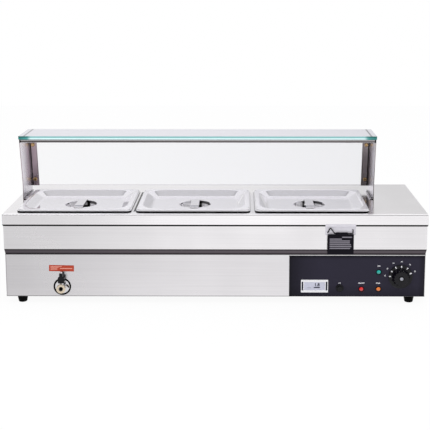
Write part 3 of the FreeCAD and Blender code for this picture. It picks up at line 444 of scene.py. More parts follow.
def plasticFinish(tone, rough, grainSize=900.0, strength=0.08, *shades, coat=0.0, glow=0.0,
                  shine=0.5):
    finish, tree, shader = newFinish()
    grain = patternBy(tree, (grainSize,) * 3)
    relief(tree, shader, grain, strength, 0.0001)
    colour = rampOf(tree, grain, [(0.35, tuple(c * 0.9 for c in tone)), (0.65, tone)])
    wear = rampOf(tree, grain, [(0.35, rough * 0.85), (0.65, min(1.0, rough * 1.15))])
    feed(tree, shader, {"Base Color": shaded(tree, colour, shades), "Roughness": wear,
                        "Coat Weight": coat, "Coat Roughness": 0.08,
                        "Specular IOR Level": shine})
    if glow:
        feed(tree, shader, {"Emission Color": (*tone, 1), "Emission Strength": glow})
    return finish


def lidZones(tree, spans, share):  # 1 along X, and share within spans of (left, right)
    start, end, fade, stops = -0.460, 0.330, 0.001, []
    for low, high in spans:
        for place, tone in ((low - fade, 1.0), (low, share), (high, share), (high + fade, 1.0)):
            stops.append(((place - start) / (end - start), tone))
    return byPlace(tree, "X", start, end, stops)


def lidLevels(tree, stops):  # stops of (height in millimetres, tone)
    low, high = 236.0, 269.0
    return byPlace(tree, "Z", low / 1000, high / 1000,
                   [((level - low) / (high - low), tone) for level, tone in stops])


def lidDulled(tree):  # rims and flats are less of a mirror than the slopes and recesses
    byHeight = lidLevels(tree, [
        (251.5, 0.0), (253.0, 0.70), (254.6, 0.70), (255.4, 0.95), (266.9, 0.95), (267.6, 0.35)])
    steep = byPlace(tree, "Z", -1.0, 1.0, [(0.62, 0.35), (0.75, 1.0)], "Normal")
    inRecess = lidLevels(tree, [(251.5, 1.0), (253.0, 0.0)])
    spans = [(place + low, place + high) for place in lidMiddles
             for low, high in ((-0.036, -0.013), (0.019, 0.043))]
    return laidOver(tree, laidOver(tree, byHeight, steep, "DARKEN"),
                    laidOver(tree, lidZones(tree, spans, 0.30), inRecess), "LIGHTEN")


def lidPaintedShade(tree):  # in each recess, a painted dark reflection in the right end's upper half and a painted shadow wedge at the strap
    rightEndReflections = lidZones(tree, [(x + 0.012, x + 0.042) for x in lidMiddles], 0.10)
    below = lidLevels(tree, [(244.3, 1.0), (245.8, 0.0), (251.8, 0.0), (253.0, 1.0)])
    left, central, right = lidMiddles
    strapShadowWedges = lidZones(tree, [
        (left + 0.012, left + 0.0195), (central + 0.012, central + 0.0175),
        (right - 0.0185, right - 0.012)], 0.01)
    above = lidLevels(tree, [(250.5, 0.0), (251.5, 1.0)])
    return laidOver(tree, laidOver(tree, rightEndReflections, below, "LIGHTEN"),
                    laidOver(tree, strapShadowWedges, above, "LIGHTEN"))


def panDulled(tree):  # the rim's upper half
    return byPlace(tree, "Z", 0.2600, 0.2655, [(0.47, 1.0), (0.54, 0.35)])


def deckDulled(tree):  # the top's front strip mirrors less than the rest
    byDepth = byPlace(tree, "Y", -0.200, 0.200, [(0.02, 0.35), (0.035, 1.0)])
    flanges = byPlace(tree, "Z", -1.0, 1.0, [(0.90, 1.0), (0.97, 0.0)], "Normal")
    return laidOver(tree, byDepth, flanges, "LIGHTEN")


def paneFinish(tone, cover):  # thin clear sheet; cover is its tint at the left and right
    finish, tree, shader = newFinish()
    haze = rampOf(tree, patternBy(tree, (5, 5, 5), 2.0), [(0.3, 0.03), (0.7, 0.07)])
    across = byPlace(tree, "X", shelf["left"], shelf["right"], [(0.0, cover[0]), (1.0, cover[1])])
    feed(tree, shader, {"Base Color": (*tone, 1), "Alpha": across, "Roughness": haze})
    return finish


def fromBothEnds(stops):  # the same tones again from the other end
    return stops + [(1 - place, tone) for place, tone in reversed(stops)]


def shelfFinish():  # clear glass whose cut edges look teal
    finish, tree, shader = newFinish()
    # the cut edge's teal, with a painted highlight on its lower half and painted shade on its upper
    # half
    edgeTealAndPaintedLight = byPlace(tree, "Z", shelf["low"], shelf["low"] + shelf["thick"], [
        (0.0, (0.40, 0.55, 0.56)), (0.10, (0.74, 0.98, 0.98)), (0.44, (0.70, 0.95, 0.95)),
        (0.54, (0.20, 0.50, 0.49)), (0.9, (0.28, 0.55, 0.55)), (1.0, (0.40, 0.62, 0.63))])
    across = alongAxis(tree, "X", shelf["left"], shelf["right"])
    ends = rampOf(tree, across, fromBothEnds([
        (0.0, (0.05, 0.30, 0.28)), (0.004, (0.02, 0.22, 0.20)), (0.026, (0.10, 0.38, 0.36)),
        (0.034, 1.0)]))
    isFlat = byPlace(tree, "Z", -1.0, 1.0, fromBothEnds([(0.1, 1.0), (0.2, 0.0)]), "Normal")
    # the flat faces' pale colour is a painted reflection, darker over each post
    clear, overPost = (0.66, 0.65, 0.70), (0.05, 0.05, 0.06)
    faceTone = rampOf(tree, across, fromBothEnds([
        (0.0122, clear), (0.0135, overPost), (0.0160, overPost), (0.0172, clear)]))
    body = laidOver(tree, laidOver(tree, edgeTealAndPaintedLight, ends), faceTone, "MIX", isFlat)
    glance = addNode(tree, "Fresnel", {"IOR": 1.5})  # flat faces turn nearly opaque at a glance, showing a painted reflection
    cover = rampOf(tree, glance.outputs[0], [(0.04, 0.12), (0.12, 0.35), (0.26, 0.97)])
    solid = addNode(tree, "Mix", {"Factor": isFlat, 2: 0.98, 3: cover}, data_type="FLOAT")
    haze = rampOf(tree, patternBy(tree, (30, 30, 30), 2.0), [(0.3, 0.10), (0.7, 0.16)])
    feed(tree, shader, {"Base Color": body, "Alpha": solid.outputs[0], "Roughness": haze})
    return finish


def postPaintedShade(outer, inner, tone):  # painted shade: flanges darker than the side plate, a black painted shadow line at the bend
    flanges = ("Y", -1.0, 1.0, fromBothEnds([(0.15, tone), (0.28, 1.0)]), "Normal")
    bend = ("X", outer, inner, [
        (0.09, 1.0), (0.10, 0.08), (0.24, 0.08), (0.30, 1.0), (0.85, 1.0), (1.0, 0.6)])
    return flanges, bend


# painted shade, shadow and reflection laid over a finish: axis, start, end, stops between them
# painted shade on the upper band's slope, which looks down, darker still at its folds
slopePaintedShade, foldPaintedShade = (0.125, 0.110, 0.122), (0.062, 0.052, 0.060)
# upper band: the painted shade of its slope, and a black painted shadow line under the deck's
# flange
bandPaintedShade = ("Z", 0.144, 0.2585, [
    (0.0, 0.03), (0.03, foldPaintedShade), (0.045, slopePaintedShade), (0.092, slopePaintedShade), (0.107, foldPaintedShade),
    (0.130, 0.035), (0.138, 1.0), (0.713, 1.0), (0.720, 0.006)])
# painted shadow along the lowest millimetre of the deck's flanges
flangePaintedShadow = ("Z", 0.230, 0.260, [(0.036, 0.02), (0.046, 1.0)])
# lower housing: painted shade along its foot, and a dark painted band at its top edge under the
# slope
wallPaintedShade = ("Z", 0.020, 0.144, [
    (0.0, 0.30), (0.012, 0.35), (0.020, 1.0), (0.987, 1.0), (0.991, 0.06)])
# shelf bar: painted reflection, light along the bottom, dark across the lower middle, grey above
barPaintedReflection = ("Z", 0.437, 0.447, [
    (0.14, 0.85), (0.20, (0.08, 0.06, 0.06)), (0.48, (0.10, 0.08, 0.08)), (0.56, 0.60),
    (1.0, 0.62)])
# pan: a black painted shadow band on the rim's lower part under the lid, and round the mouth at
# that height
rimPaintedShadow = ("Z", 0.2550, 0.2655, [(0.46, 1.0), (0.48, 0.010), (0.735, 0.010), (0.765, 1.0)])
# pan bars: painted shade in the gaps beside the pans' rims, and at the bars' ends
gapPaintedShade = ("X", -0.2395, 0.1125, [
    (0.0, 0.45), (0.008, 1.0), (0.0165, 1.0), (0.0190, 0.01), (0.0384, 0.01), (0.05, 1.0),
    (0.962, 0.4), (0.968, 1.0), (0.992, 1.0), (1.0, 0.3)])
# painted shade on faces that look down, such as the strap's underside
undersidePaintedShade = ("Z", -1.0, 1.0, [(0.30, 0.01), (0.42, 0.6), (0.5, 1.0)], "Normal")
# painted shade on the lower side of each lamp lens
lensPaintedShade = ("Z", -1.0, 1.0, [(0.0, 0.30), (0.35, 0.55), (0.55, 1.0)], "Normal")
# painted shade towards the control panel's edges
panelPaintedShade = (
    ("X", 0.2095, 0.5935, [
        (0.0, 0.30), (0.025, 0.50), (0.11, 0.80), (0.24, 1.0), (0.95, 1.0), (1.0, 0.5)]),
    ("Z", 0.021, 0.1405, [
        (0.0, 0.40), (0.04, 0.7), (0.28, 1.0), (0.90, 1.0), (0.97, 0.6), (1.0, 0.3)]))

# how finely the grain is drawn along x, y and z
along, even, fine = (3, 500, 500), (60, 60, 60), (200, 200, 200)
lidTone, postTone = (0.885, 0.868, 0.900), (0.90, 0.875, 0.925)
finishes = {
    "housing": metalFinish((0.820, 0.800, 0.822), 0.30, along, 0.05, wallPaintedShade),
    "band": metalFinish((0.935, 0.916, 0.935), 0.30, along, 0.05, bandPaintedShade),
    "deck": metalFinish((0.965, 0.945, 0.965), 0.14, (3, 700, 700), 0.04, flangePaintedShadow,
                        dulled=deckDulled),
    "lid": metalFinish(lidTone, 0.05, even, 0.02, spread=0.01, cloudy=0.02,
                       dulled=lidDulled, paintedShade=lidPaintedShade),
    "strap": metalFinish(lidTone, 0.08, even, 0.02, undersidePaintedShade, spread=0.01, cloudy=0.02),
    "pan": metalFinish((0.84, 0.83, 0.85), 0.10, even, 0.02, rimPaintedShadow, spread=0.01,
                       cloudy=0.02, dulled=panDulled),
    "guardLeft": metalFinish(postTone, 0.28, (500, 500, 4), 0.03,
                             *postPaintedShade(-0.580, -0.556, (0.58, 0.48, 0.49))),
    "guardRight": metalFinish(postTone, 0.28, (500, 500, 4), 0.03,
                              *postPaintedShade(0.470, 0.446, (0.43, 0.39, 0.37))),
    "bar": metalFinish((0.845, 0.828, 0.845), 0.20, (4, 500, 500), 0.05, barPaintedReflection),
    "polished": metalFinish((0.82, 0.81, 0.83), 0.08, even, 0.02, cloudy=0.02),
    "cap": metalFinish((0.46, 0.47, 0.52), 0.25, (400, 400, 400), 0.1, spread=0.06),
    "inner": metalFinish((0.62, 0.61, 0.62), 0.30, (300, 3, 300), 0.10),
    "rails": metalFinish((0.90, 0.885, 0.90), 0.25, (300, 3, 300), 0.05, gapPaintedShade),
    "brass": metalFinish((0.62, 0.42, 0.20), 0.20, fine, 0.05),
    "nickel": metalFinish((0.84, 0.72, 0.56), 0.25, fine, 0.05),
    "element": metalFinish((0.20, 0.19, 0.18), 0.40, (100, 100, 100), 0.1),
    "shadow": metalFinish((0.012, 0.011, 0.012), 0.5, (100, 100, 100), 0.1, spread=0.004),
    "wire": plasticFinish((0.003, 0.002, 0.004), 0.5, 900.0, 0.1, shine=0.05),
    "rubber": plasticFinish((0.002, 0.002, 0.002), 0.5, 1200.0, 0.25, shine=0.04),
    "seam": plasticFinish((0.004, 0.003, 0.004), 0.8, 1200.0, 0.2, shine=0.05),
    "panel": plasticFinish((0.0265, 0.0240, 0.0400), 0.42, 1600.0, 0.10, *panelPaintedShade, shine=0.10),
    "black": plasticFinish((0.004, 0.004, 0.006), 0.24, 700.0, 0.06, shine=0.25),
    "knob": plasticFinish((0.003, 0.0024, 0.005), 0.26, shine=0.30),
    "white": plasticFinish((0.86, 0.86, 0.88), 0.30, 700.0, 0.04, coat=0.1),
    "grey": plasticFinish((0.55, 0.55, 0.52), 0.5),
    "clip": plasticFinish((0.70, 0.68, 0.73), 0.30, 400.0, 0.10, coat=0.1),
    "card": plasticFinish((0.006, 0.005, 0.009), 0.34, 500.0, 0.1, shine=0.08),
    "cardLine": plasticFinish((0.24, 0.225, 0.26), 0.45, 2500.0, 0.2, shine=0.1),
    "redPlate": plasticFinish((0.47, 0.058, 0.026), 0.40, 600.0, 0.05, shine=0.2),
    "plateLine": plasticFinish((0.82, 0.36, 0.28), 0.45, 2500.0, 0.1, shine=0.2),
    "screen": plasticFinish((0.56, 0.57, 0.68), 0.18, 200.0, 0.01, coat=0.3),
    # the print's faint glow is painted light
    "ink": plasticFinish((0.90, 0.90, 0.93), 0.45, 800.0, 0.02, glow=0.12),
    "digit": plasticFinish((0.02, 0.02, 0.04), 0.4, 800.0, 0.02, shine=0.1),
    "pane": paneFinish((0.20, 0.20, 0.42), (0.036, 0.088)),
    "shelf": shelfFinish(),
}
for hue, tone in (("red", (0.75, 0.018, 0.022)), ("orange", (0.86, 0.22, 0.04)),
                  ("green", (0.01, 0.42, 0.36))):
    finishes[hue + "Lamp"] = plasticFinish(tone, 0.08, 300.0, 0.1, lensPaintedShade, coat=0.8, glow=0.05)
for name, finish in finishes.items():
    finish.name = name + "Finish"
print("finishes made:", len(finishes))

# the pieces that stay as the frame has them
keptPieces = {
    "housing": "base_plate",
    "inner": "water_tank drain_pipe",
    "rails": "pan_bars",
    "polished": "dial_shaft foot_screws post_screws",
    "element": "heating_element",
    "brass": "sensor",
    "seam": "deck_seal",
    "rubber": "tank_bushings cord_gland",
    "black": "bar_caps",
    "grey": "terminal_block thermostat",
}
for finish, members in keptPieces.items():
    for member in members.split():
        dress(nodes[member], finish)
print("node finishes set")


# cabinet sheets

def makeDeck():
    half, depth, top = deck["wide"] / 2, deck["deep"] / 2, deck["top"]
    sheet = block("deckSheet", (-half, -depth, top - deck["flange"]), (half, depth, top))
    startEdit(sheet)
    dropFaces(sheet, lambda face: face.normal.z < -0.5)
    roundEdges(sheet, upright, deck["corner"], 4)
    roundEdges(sheet, lambda edge: atHeight(edge, top), deck["edge"], 4)
    isTop = lambda face: face.normal.z > 0.99 and atHeight(face, top)
    for across, centre, reach in (((1, 0, 0), well["x"], well["long"]),
                                  ((0, 1, 0), well["y"], well["deep"])):
        for end in (-0.5, 0.5):
            pick(sheet, "FACE", isTop)
            bpy.ops.mesh.bisect(plane_co=[(centre + end * reach) * c for c in across],
                                plane_no=across)
    pick(sheet, "FACE", lambda face: face.normal.z > 0.99
         and abs(middle(face).x - well["x"]) < well["long"] / 2
         and abs(middle(face).y - well["y"]) < well["deep"] / 2)
    extrude(0, 0, -well["lip"])
    bpy.ops.mesh.delete(type="FACE")
    roundEdges(sheet, lambda edge: atHeight(edge, top) and len(edge.link_faces) == 2
               and any(abs(face.normal.z) < 0.1 for face in edge.link_faces),
               deck["mouthEdge"], 3)
    endEdit()
    addModifier(sheet, "SOLIDIFY", thickness=deck["sheet"], offset=-1)
    finished(smoothed(sheet), "deck", "polished_steel", "top_deck")


band = {"wide": 1.195, "deep": 0.395, "top": 0.2585, "foot": 0.160, "slopeFoot": 0.144,
        "inset": 0.003, "topFold": 0.012, "corner": 0.0022, "bend": 0.0007}


def makeBand():
    half, depth = band["wide"] / 2, band["deep"] / 2
    sheet = block("upperBand", (-half, -depth, band["foot"]), (half, depth, band["top"]))

    def drawOn(level, reach, inset):  # draws the edges at a level on, and inwards
        pick(sheet, "EDGE", lambda edge: atHeight(edge, level))
        bpy.ops.mesh.extrude_edges_move(TRANSFORM_OT_translate={"value": (0, 0, reach)})
        bpy.ops.transform.resize(value=(1 - inset / half, 1 - inset / depth, 1),
                                 center_override=(0, 0, level + reach))

    startEdit(sheet)
    dropFaces(sheet, lambda face: abs(face.normal.z) > 0.5)
    drawOn(band["foot"], band["slopeFoot"] - band["foot"], band["inset"])
    roundEdges(sheet, lambda edge: abs(edge.verts[0].co.z - edge.verts[1].co.z) > 0.01,
               band["corner"], 4)
    roundEdges(sheet, lambda edge: atHeight(edge, band["foot"]), band["bend"], 2)
    drawOn(band["top"], 0, band["topFold"])
    endEdit()
    weldAndFace(sheet)
    addModifier(sheet, "SOLIDIFY", thickness=deck["sheet"], offset=-1)
    finished(smoothed(sheet), "band", "brushed_steel", "upper_housing")


hull = {"wide": 1.19, "deep": 0.39, "top": 0.144, "foot": 0.020, "fold": 0.012, "corner": 0.0022,
        "gap": 0.0003, "edge": 0.0004, "frontEdge": 0.0007}


def makeHousing():
    half, depth, skin = hull["wide"] / 2, hull["deep"] / 2, deck["sheet"]
    wrap = block("endAndRearSheet", (-half, -depth, hull["foot"]), (half, depth, hull["top"]))
    startEdit(wrap)
    dropFaces(wrap, lambda face: abs(face.normal.z) > 0.5 or face.normal.y < -0.5)
    roundEdges(wrap, lambda edge: upright(edge) and middle(edge).y > 0, hull["corner"], 4)
    endEdit()
    weldAndFace(wrap)
    if min(polygon.normal.y for polygon in wrap.data.polygons) < -0.5:
        flipFaces(wrap)
    addModifier(wrap, "SOLIDIFY", thickness=skin, offset=-1)
    finished(softened(wrap, hull["edge"]), "housing", "brushed_steel", "lower_housing")

    side, foldLine = half - skin - hull["gap"], hull["top"] - skin
    front = block("frontSheet", (-side, -depth, hull["foot"]), (side, -depth + skin, hull["top"]))
    startEdit(front)
    pick(front, "FACE", lambda face: face.normal.y > 0.5)
    bpy.ops.mesh.bisect(plane_co=(0, 0, foldLine), plane_no=(0, 0, 1))
    pick(front, "FACE", lambda face: face.normal.y > 0.5 and middle(face).z > foldLine)
    extrude(0, hull["fold"], 0)
    endEdit()
    weldAndFace(front)
    finished(softened(front, hull["frontEdge"], 3), "housing", "brushed_steel", "front_panel")


foot = {"profile": [(10.5, 0), (12, 1), (14.5, 15), (15, 18), (15, 20)], "x": 0.553, "y": 0.176,
        "wall": 0.0045, "hollow": 0.005, "edge": 0.0005}


def makeFeet():
    first = lathe("footFrontRight", (foot["x"], -foot["y"]), 0, foot["profile"], front=False)
    startEdit(first)
    pick(first, "FACE", lambda face: face.normal.z < -0.9)
    bpy.ops.mesh.inset(thickness=foot["wall"])
    extrude(0, 0, foot["hollow"])
    endEdit()
    softened(first, foot["edge"])
    for node, left, back in (("foot_front_left", 1, 0), ("foot_rear_right", 0, 1),
                             ("foot_rear_left", 1, 1)):
        twin = copied(first, node, (-2 * foot["x"] * left, 2 * foot["y"] * back, 0))
        finished(twin, "rubber", "black_rubber", node)
    finished(first, "rubber", "black_rubber", "foot_front_right")


# pans, lids and their straps

pan = {"rimLong": 0.325, "rimDeep": 0.265, "rimCorner": 0.014, "rimLow": 0.2603, "top": 0.265,
       "mouthLong": 0.300, "mouthDeep": 0.239, "mouthCorner": 0.034, "floorLong": 0.274,
       "floorDeep": 0.213, "floorCorner": 0.021, "floor": 0.117, "round": 0.016, "skin": 0.001,
       "mouthEdge": 0.004, "rimEdge": 0.0012}


def makePans():
    outlines = [roundedOutline(z, pan[kind + "Long"], pan[kind + "Deep"], pan[kind + "Corner"])
                for kind, z in (("rim", pan["rimLow"]), ("rim", pan["top"]), ("mouth", pan["top"]))]
    for share in (1.0, 0.71, 0.38, 0.13, 0.0):  # the round between wall and floor
        inward = 2 * pan["round"] * (1 - math.sqrt(1 - (1 - share) ** 2))
        outlines.append(roundedOutline(pan["floor"] + pan["round"] * share,
                                       pan["floorLong"] - inward, pan["floorDeep"] - inward,
                                       pan["floorCorner"]))
    first = skinThrough("panMiddle", outlines)
    faceUp(first, pan["floor"])
    inMouth = lambda vert, slack: inside(vert, pan["mouthLong"], pan["mouthDeep"], slack)
    startEdit(first)
    roundEdges(first, lambda edge: atHeight(edge, pan["top"])
               and all(inMouth(v, 0.0002) for v in edge.verts), pan["mouthEdge"], 4)
    roundEdges(first, lambda edge: atHeight(edge, pan["top"])
               and not any(inMouth(v, 0.005) for v in edge.verts), pan["rimEdge"], 3)
    endEdit()
    addModifier(first, "SOLIDIFY", thickness=pan["skin"], offset=-1)
    threeOf(smoothed(first, 40), "pan", "pan_%s_body", "pan", "pan_")


lid = {"long": 0.320, "deep": 0.262, "corner": 0.016, "low": 0.2653, "top": 0.2683,
       "border": 0.011, "borderCorner": 0.051, "flatLong": 0.248, "flatDeep": 0.190,
       "flatCorner": 0.026, "flat": 0.2533, "roundTop": 0.046, "roundFloor": 0.0415,
       "recess": 0.2363, "skin": 0.001, "borderEdge": 0.0035, "flatEdge": 0.005,
       "roundEdge": 0.003, "rimEdge": 0.001}


def makeLids():
    wide, length = lid["long"] - 2 * lid["border"], lid["deep"] - 2 * lid["border"]
    outlines = [roundedOutline(lid["low"], lid["long"], lid["deep"], lid["corner"]),
                roundedOutline(lid["top"], lid["long"], lid["deep"], lid["corner"]),
                roundedOutline(lid["top"], wide, length, lid["borderCorner"]),
                roundedOutline(lid["flat"], lid["flatLong"], lid["flatDeep"], lid["flatCorner"]),
                circleOutline(lid["flat"], lid["roundTop"]),
                circleOutline(lid["recess"], lid["roundFloor"])]
    first = skinThrough("lidMiddle", outlines)
    faceUp(first, lid["recess"])
    inRound = lambda v: (math.hypot(v.co.x - well["x"], v.co.y - well["y"])
                         < lid["roundTop"] + 0.0005)
    inBorder = lambda v: inside(v, wide, length, 0.0003)
    startEdit(first)
    for level, wanted, width, steps in (
            ("top", lambda e: all(map(inBorder, e.verts)), "borderEdge", 4),
            ("flat", lambda e: not any(map(inRound, e.verts)), "flatEdge", 4),
            ("flat", lambda e: all(map(inRound, e.verts)), "roundEdge", 4),
            ("recess", lambda e: True, "roundEdge", 4),
            ("top", lambda e: not any(map(inBorder, e.verts)), "rimEdge", 3)):
        roundEdges(first, lambda e: atHeight(e, lid[level]) and wanted(e), lid[width], steps)
    endEdit()
    addModifier(first, "SOLIDIFY", thickness=lid["skin"], offset=-1)
    threeOf(smoothed(first, 40), "lid", "lid_%s_body", "lid", "lid_")


strap = {"wide": 0.025, "half": 0.055, "foot": 0.046, "knee": 0.037, "rise": 0.0032,
         "skin": 0.0016, "corner": 0.004, "edge": 0.0006}


def makeStraps():
    x, y, low = well["x"], well["y"], lid["flat"]
    first = block("strapMiddle", (x - strap["wide"] / 2, y - strap["half"], low),
                  (x + strap["wide"] / 2, y + strap["half"], low + strap["skin"]))
    startEdit(first)
    for place in (-strap["foot"], -strap["knee"], strap["knee"], strap["foot"]):
        cutThrough((x, y + place, low), (0, 1, 0))
    pick(first, "VERT", lambda v: abs(v.co.y - y) < strap["knee"] + 0.0005)
    bpy.ops.transform.translate(value=(0, 0, strap["rise"]))
    roundEdges(first, lambda e: upright(e) and abs(middle(e).y - y) > strap["half"] - 0.001,
               strap["corner"], 5)
    endEdit()
    softened(first, strap["edge"], 3, 12, 40)
    threeOf(first, "strap", "lid_%s_body", "strap", "lid_strap_")


makeDeck()
makeBand()
makeHousing()
makeFeet()
print("cabinet sheets and feet made")
makePans()
makeLids()
makeStraps()
print("pans and lids made")


# glass guard

def makeGuard():
    for side in ("left", "right"):
        finished(refined("upright_" + side, "post" + side.title(), 0.0006, 3),
                 "guard" + side.title(), "polished_steel", "upright_" + side)
    glass = block("shelfGlass", (shelf["left"], shelf["front"], shelf["low"]),
                  (shelf["right"], shelf["back"], shelf["low"] + shelf["thick"]))
    startEdit(glass)
    roundEdges(glass, upright, shelf["corner"], 4)
    endEdit()
    finished(softened(glass, shelf["edge"], 3), "shelf", "clear_glass", "shelf_glass")
    for node, name, width, finish, slot in (
            ("rear_pane", "rearPane", 0.0005, "pane", "clear_glass"),
            ("shelf_bar", "shelfBar", 0.0008, "bar", "polished_steel"),
            ("pane_bolts", "paneBolts", 0.0004, "brass", "brass")):
        finished(refined(node, name, width), finish, slot, node)


makeGuard()
print("guard made")


# control panel

panel = {"x": 0.4015, "long": 0.384, "low": 0.021, "high": 0.1195, "wall": 0.195, "face": 0.1965,
         "edge": 0.0005}


def makePanel():
    half = panel["long"] / 2
    plate = block("controlPanel", (panel["x"] - half, -panel["face"], panel["low"]),
                  (panel["x"] + half, -panel["wall"], panel["low"] + panel["high"]))
    finished(softened(plate, panel["edge"], 3), "panel", "panel_paint", "control_panel")


meter = {"x": 0.2815, "z": 0.052, "long": 0.077, "high": 0.037, "deep": 0.003, "ridge": 0.0132,
         "grooveIn": 0.0318, "grooveOut": 0.0366, "grooveDeep": 0.0022, "grooveMiddle": 0.0342,
         "bedHalf": 0.0021, "bedRise": 0.0126, "lip": 0.0010, "lipDeep": 0.0008,
         "bedFace": 0.0012, "bedThick": 0.0006, "glassHalf": 0.0298, "glassRise": 0.0118,
         "glassFace": 0.0024, "edge": 0.0004, "bedEdge": 0.0002, "glassEdge": 0.0003,
         "figures": (0.0070, 0.0038), "figureHigh": 0.0125, "bold": 0.0004,
         # printed line and dash: middle, half length, low and high
         "line": (0.0065, 0.0085, -0.0055, -0.0022), "dash": (-0.0150, 0.0050, -0.0050, -0.0042)}


def makeMeter():
    x, z, face = meter["x"], meter["z"], panel["face"]
    half, rise, ridge = meter["long"] / 2, meter["high"] / 2, meter["ridge"]
    bezel = block("meterBezel", (x - half, -face - meter["deep"], z - rise),
                  (x + half, -face, z + rise))
    startEdit(bezel)
    for edge in (-meter["grooveOut"], -meter["grooveIn"], meter["grooveIn"], meter["grooveOut"]):
        cutThrough((x + edge, 0, z), (1, 0, 0))
    for edge in (-ridge, ridge):
        cutThrough((x, 0, z + edge), (0, 0, 1))
    inner = lambda f: f.normal.y < -0.5 and abs(middle(f).z - z) < ridge
    pick(bezel, "FACE", lambda f: inner(f)
         and meter["grooveIn"] < abs(middle(f).x - x) < meter["grooveOut"])
    extrude(0, meter["grooveDeep"], 0)
    pick(bezel, "FACE", lambda f: inner(f) and abs(middle(f).x - x) < meter["grooveIn"])
    bpy.ops.mesh.inset(thickness=meter["lip"])
    extrude(0, meter["lipDeep"], 0)
    endEdit()
    finished(softened(bezel, meter["edge"]), "white", "white_plastic", "meter_bezel")

    def layer(name, back, front, centre, halfLong, low, high):
        return block(name, (x + centre - halfLong, -face - front, z + low),
                     (x + centre + halfLong, -face - back, z + high))

    beds = [layer("bed", meter["bedThick"], meter["bedFace"], side * meter["grooveMiddle"],
                  meter["bedHalf"], -meter["bedRise"], meter["bedRise"]) for side in (-1, 1)]
    finished(softened(joined("meterGrooves", beds), meter["bedEdge"], 1), "digit",
             "black_plastic")
    window = layer("meterWindow", meter["bedFace"], meter["glassFace"], 0, meter["glassHalf"],
                   -meter["glassRise"], meter["glassRise"])
    finished(softened(window, meter["glassEdge"]), "screen", "window", "meter_window")
    front, (right, up) = meter["glassFace"], meter["figures"]
    printed = [lettering("1.8", (x + right, -face - front, z + up), meter["figureHigh"],
                         ink["thick"], bold=meter["bold"])]
    printed += [layer(name, front, front + ink["thick"], *meter[name])
                for name in ("line", "dash")]
    finished(softened(joined("meterFigures", printed), ink["edge"], 1), "digit",
             "black_plastic")


button = {"place": (0.353, 0.046),
          "collar": [(10.8, -0.5), (11.0, 1.2), (10.4, 2.0), (9.8, 2.65), (7.65, 2.75),
                     (7.55, -4.0)],
          "push": [(7.3, -7.0), (7.3, 4.2), (6.8, 5.2), (5.6, 5.7), (3.0, 5.2)]}


def makeButton():
    for name, profile, width, body, node in (
            ("buttonCollar", "collar", 0.0002, "cabinet", "button_collar"),
            ("resetButton", "push", 0.0003, "button", "reset_button")):
        ring = lathe(name, button["place"], panel["face"], button[profile])
        finished(softened(ring, width), "black", "black_plastic", node, body=body)


lamps = {"red": (0.4145, 0.043), "orange": (0.463, 0.043), "green": (0.463, 0.093)}
lampParts = {"dome": (6.0, 3.6), "foot": 0.6, "tip": (1.2, 4.2),
             "collar": [(8.0, -0.3), (8.0, 0.9), (7.4, 1.4), (6.4, 1.4), (6.05, 0.5)]}


def makeLamps():
    radius, rise = lampParts["dome"]
    dome = [(radius * math.cos(step * 0.3), lampParts["foot"] + rise * math.sin(step * 0.3))
            for step in range(5)]
    collars = []
    for hue, place in lamps.items():
        turned("lens_" + hue, place, panel["face"], [(radius, -1.0), *dome, lampParts["tip"]], 32,
               hue + "Lamp", hue + "_lens", "lamp_" + hue, degrees=60)
        collars.append(lathe("collar", place, panel["face"], lampParts["collar"], 32))
    finished(smoothed(joined("lampCollars", collars), 30), "wire", "dark_wire", "lamp_collars")


# profiles of skirt and grip from the skirt's back, those of rim and cap from the grip's front
dial = {"x": 0.5245, "z": 0.080, "gap": 0.0008, "high": 0.0219, "gripTop": 0.022, "flutes": 16,
        "fluteFrom": 0.0194, "fluteFoot": 0.004, "fluteCuts": ((3, 0.0012), (1, 0.0010)),
        "skirt": [(33.2, 0), (34.0, 0.8), (34.0, 2.6), (32.6, 3.8), (31.0, 4.0), (20.0, 4.2)],
        "grip": [(26.6, 3.6), (26.0, 5.2), (22.2, 20.1), (21.4, 21.3), (19.8, 21.9),
                 (10.4, 21.6), (7.7, 21.2), (7.6, 20.4)],
        "rim": [(7.4, -1.4), (7.4, -0.6), (6.6, -0.2), (5.6, -0.6), (5.4, -1.4)],
        "cap": [(5.5, -1.4), (5.3, -0.2), (4.7, 0.8), (3.2, 0.7), (2.4, -0.1)],
        "marks": (177, 148, 117, 86, 53, 20), "markRadius": 0.0300, "markHigh": 0.0078,
        "markFace": 0.0040, "markThick": 0.0002, "markBold": 0.0003,
        "figureRadius": 0.0435, "figureHigh": 0.0054}


def figuresRound(first, pitch, radius, front, size, depth, bold=0.0):  # numbers round the dial
    figures = []
    for number, angle in enumerate(dial["marks"]):
        turn = math.radians(angle)
        place = (dial["x"] + radius * math.cos(turn), front, dial["z"] + radius * math.sin(turn))
        figures.append(lettering(str(first + pitch * number), place, size, depth,
                                 math.pi / 2 - turn, bold))
    return figures


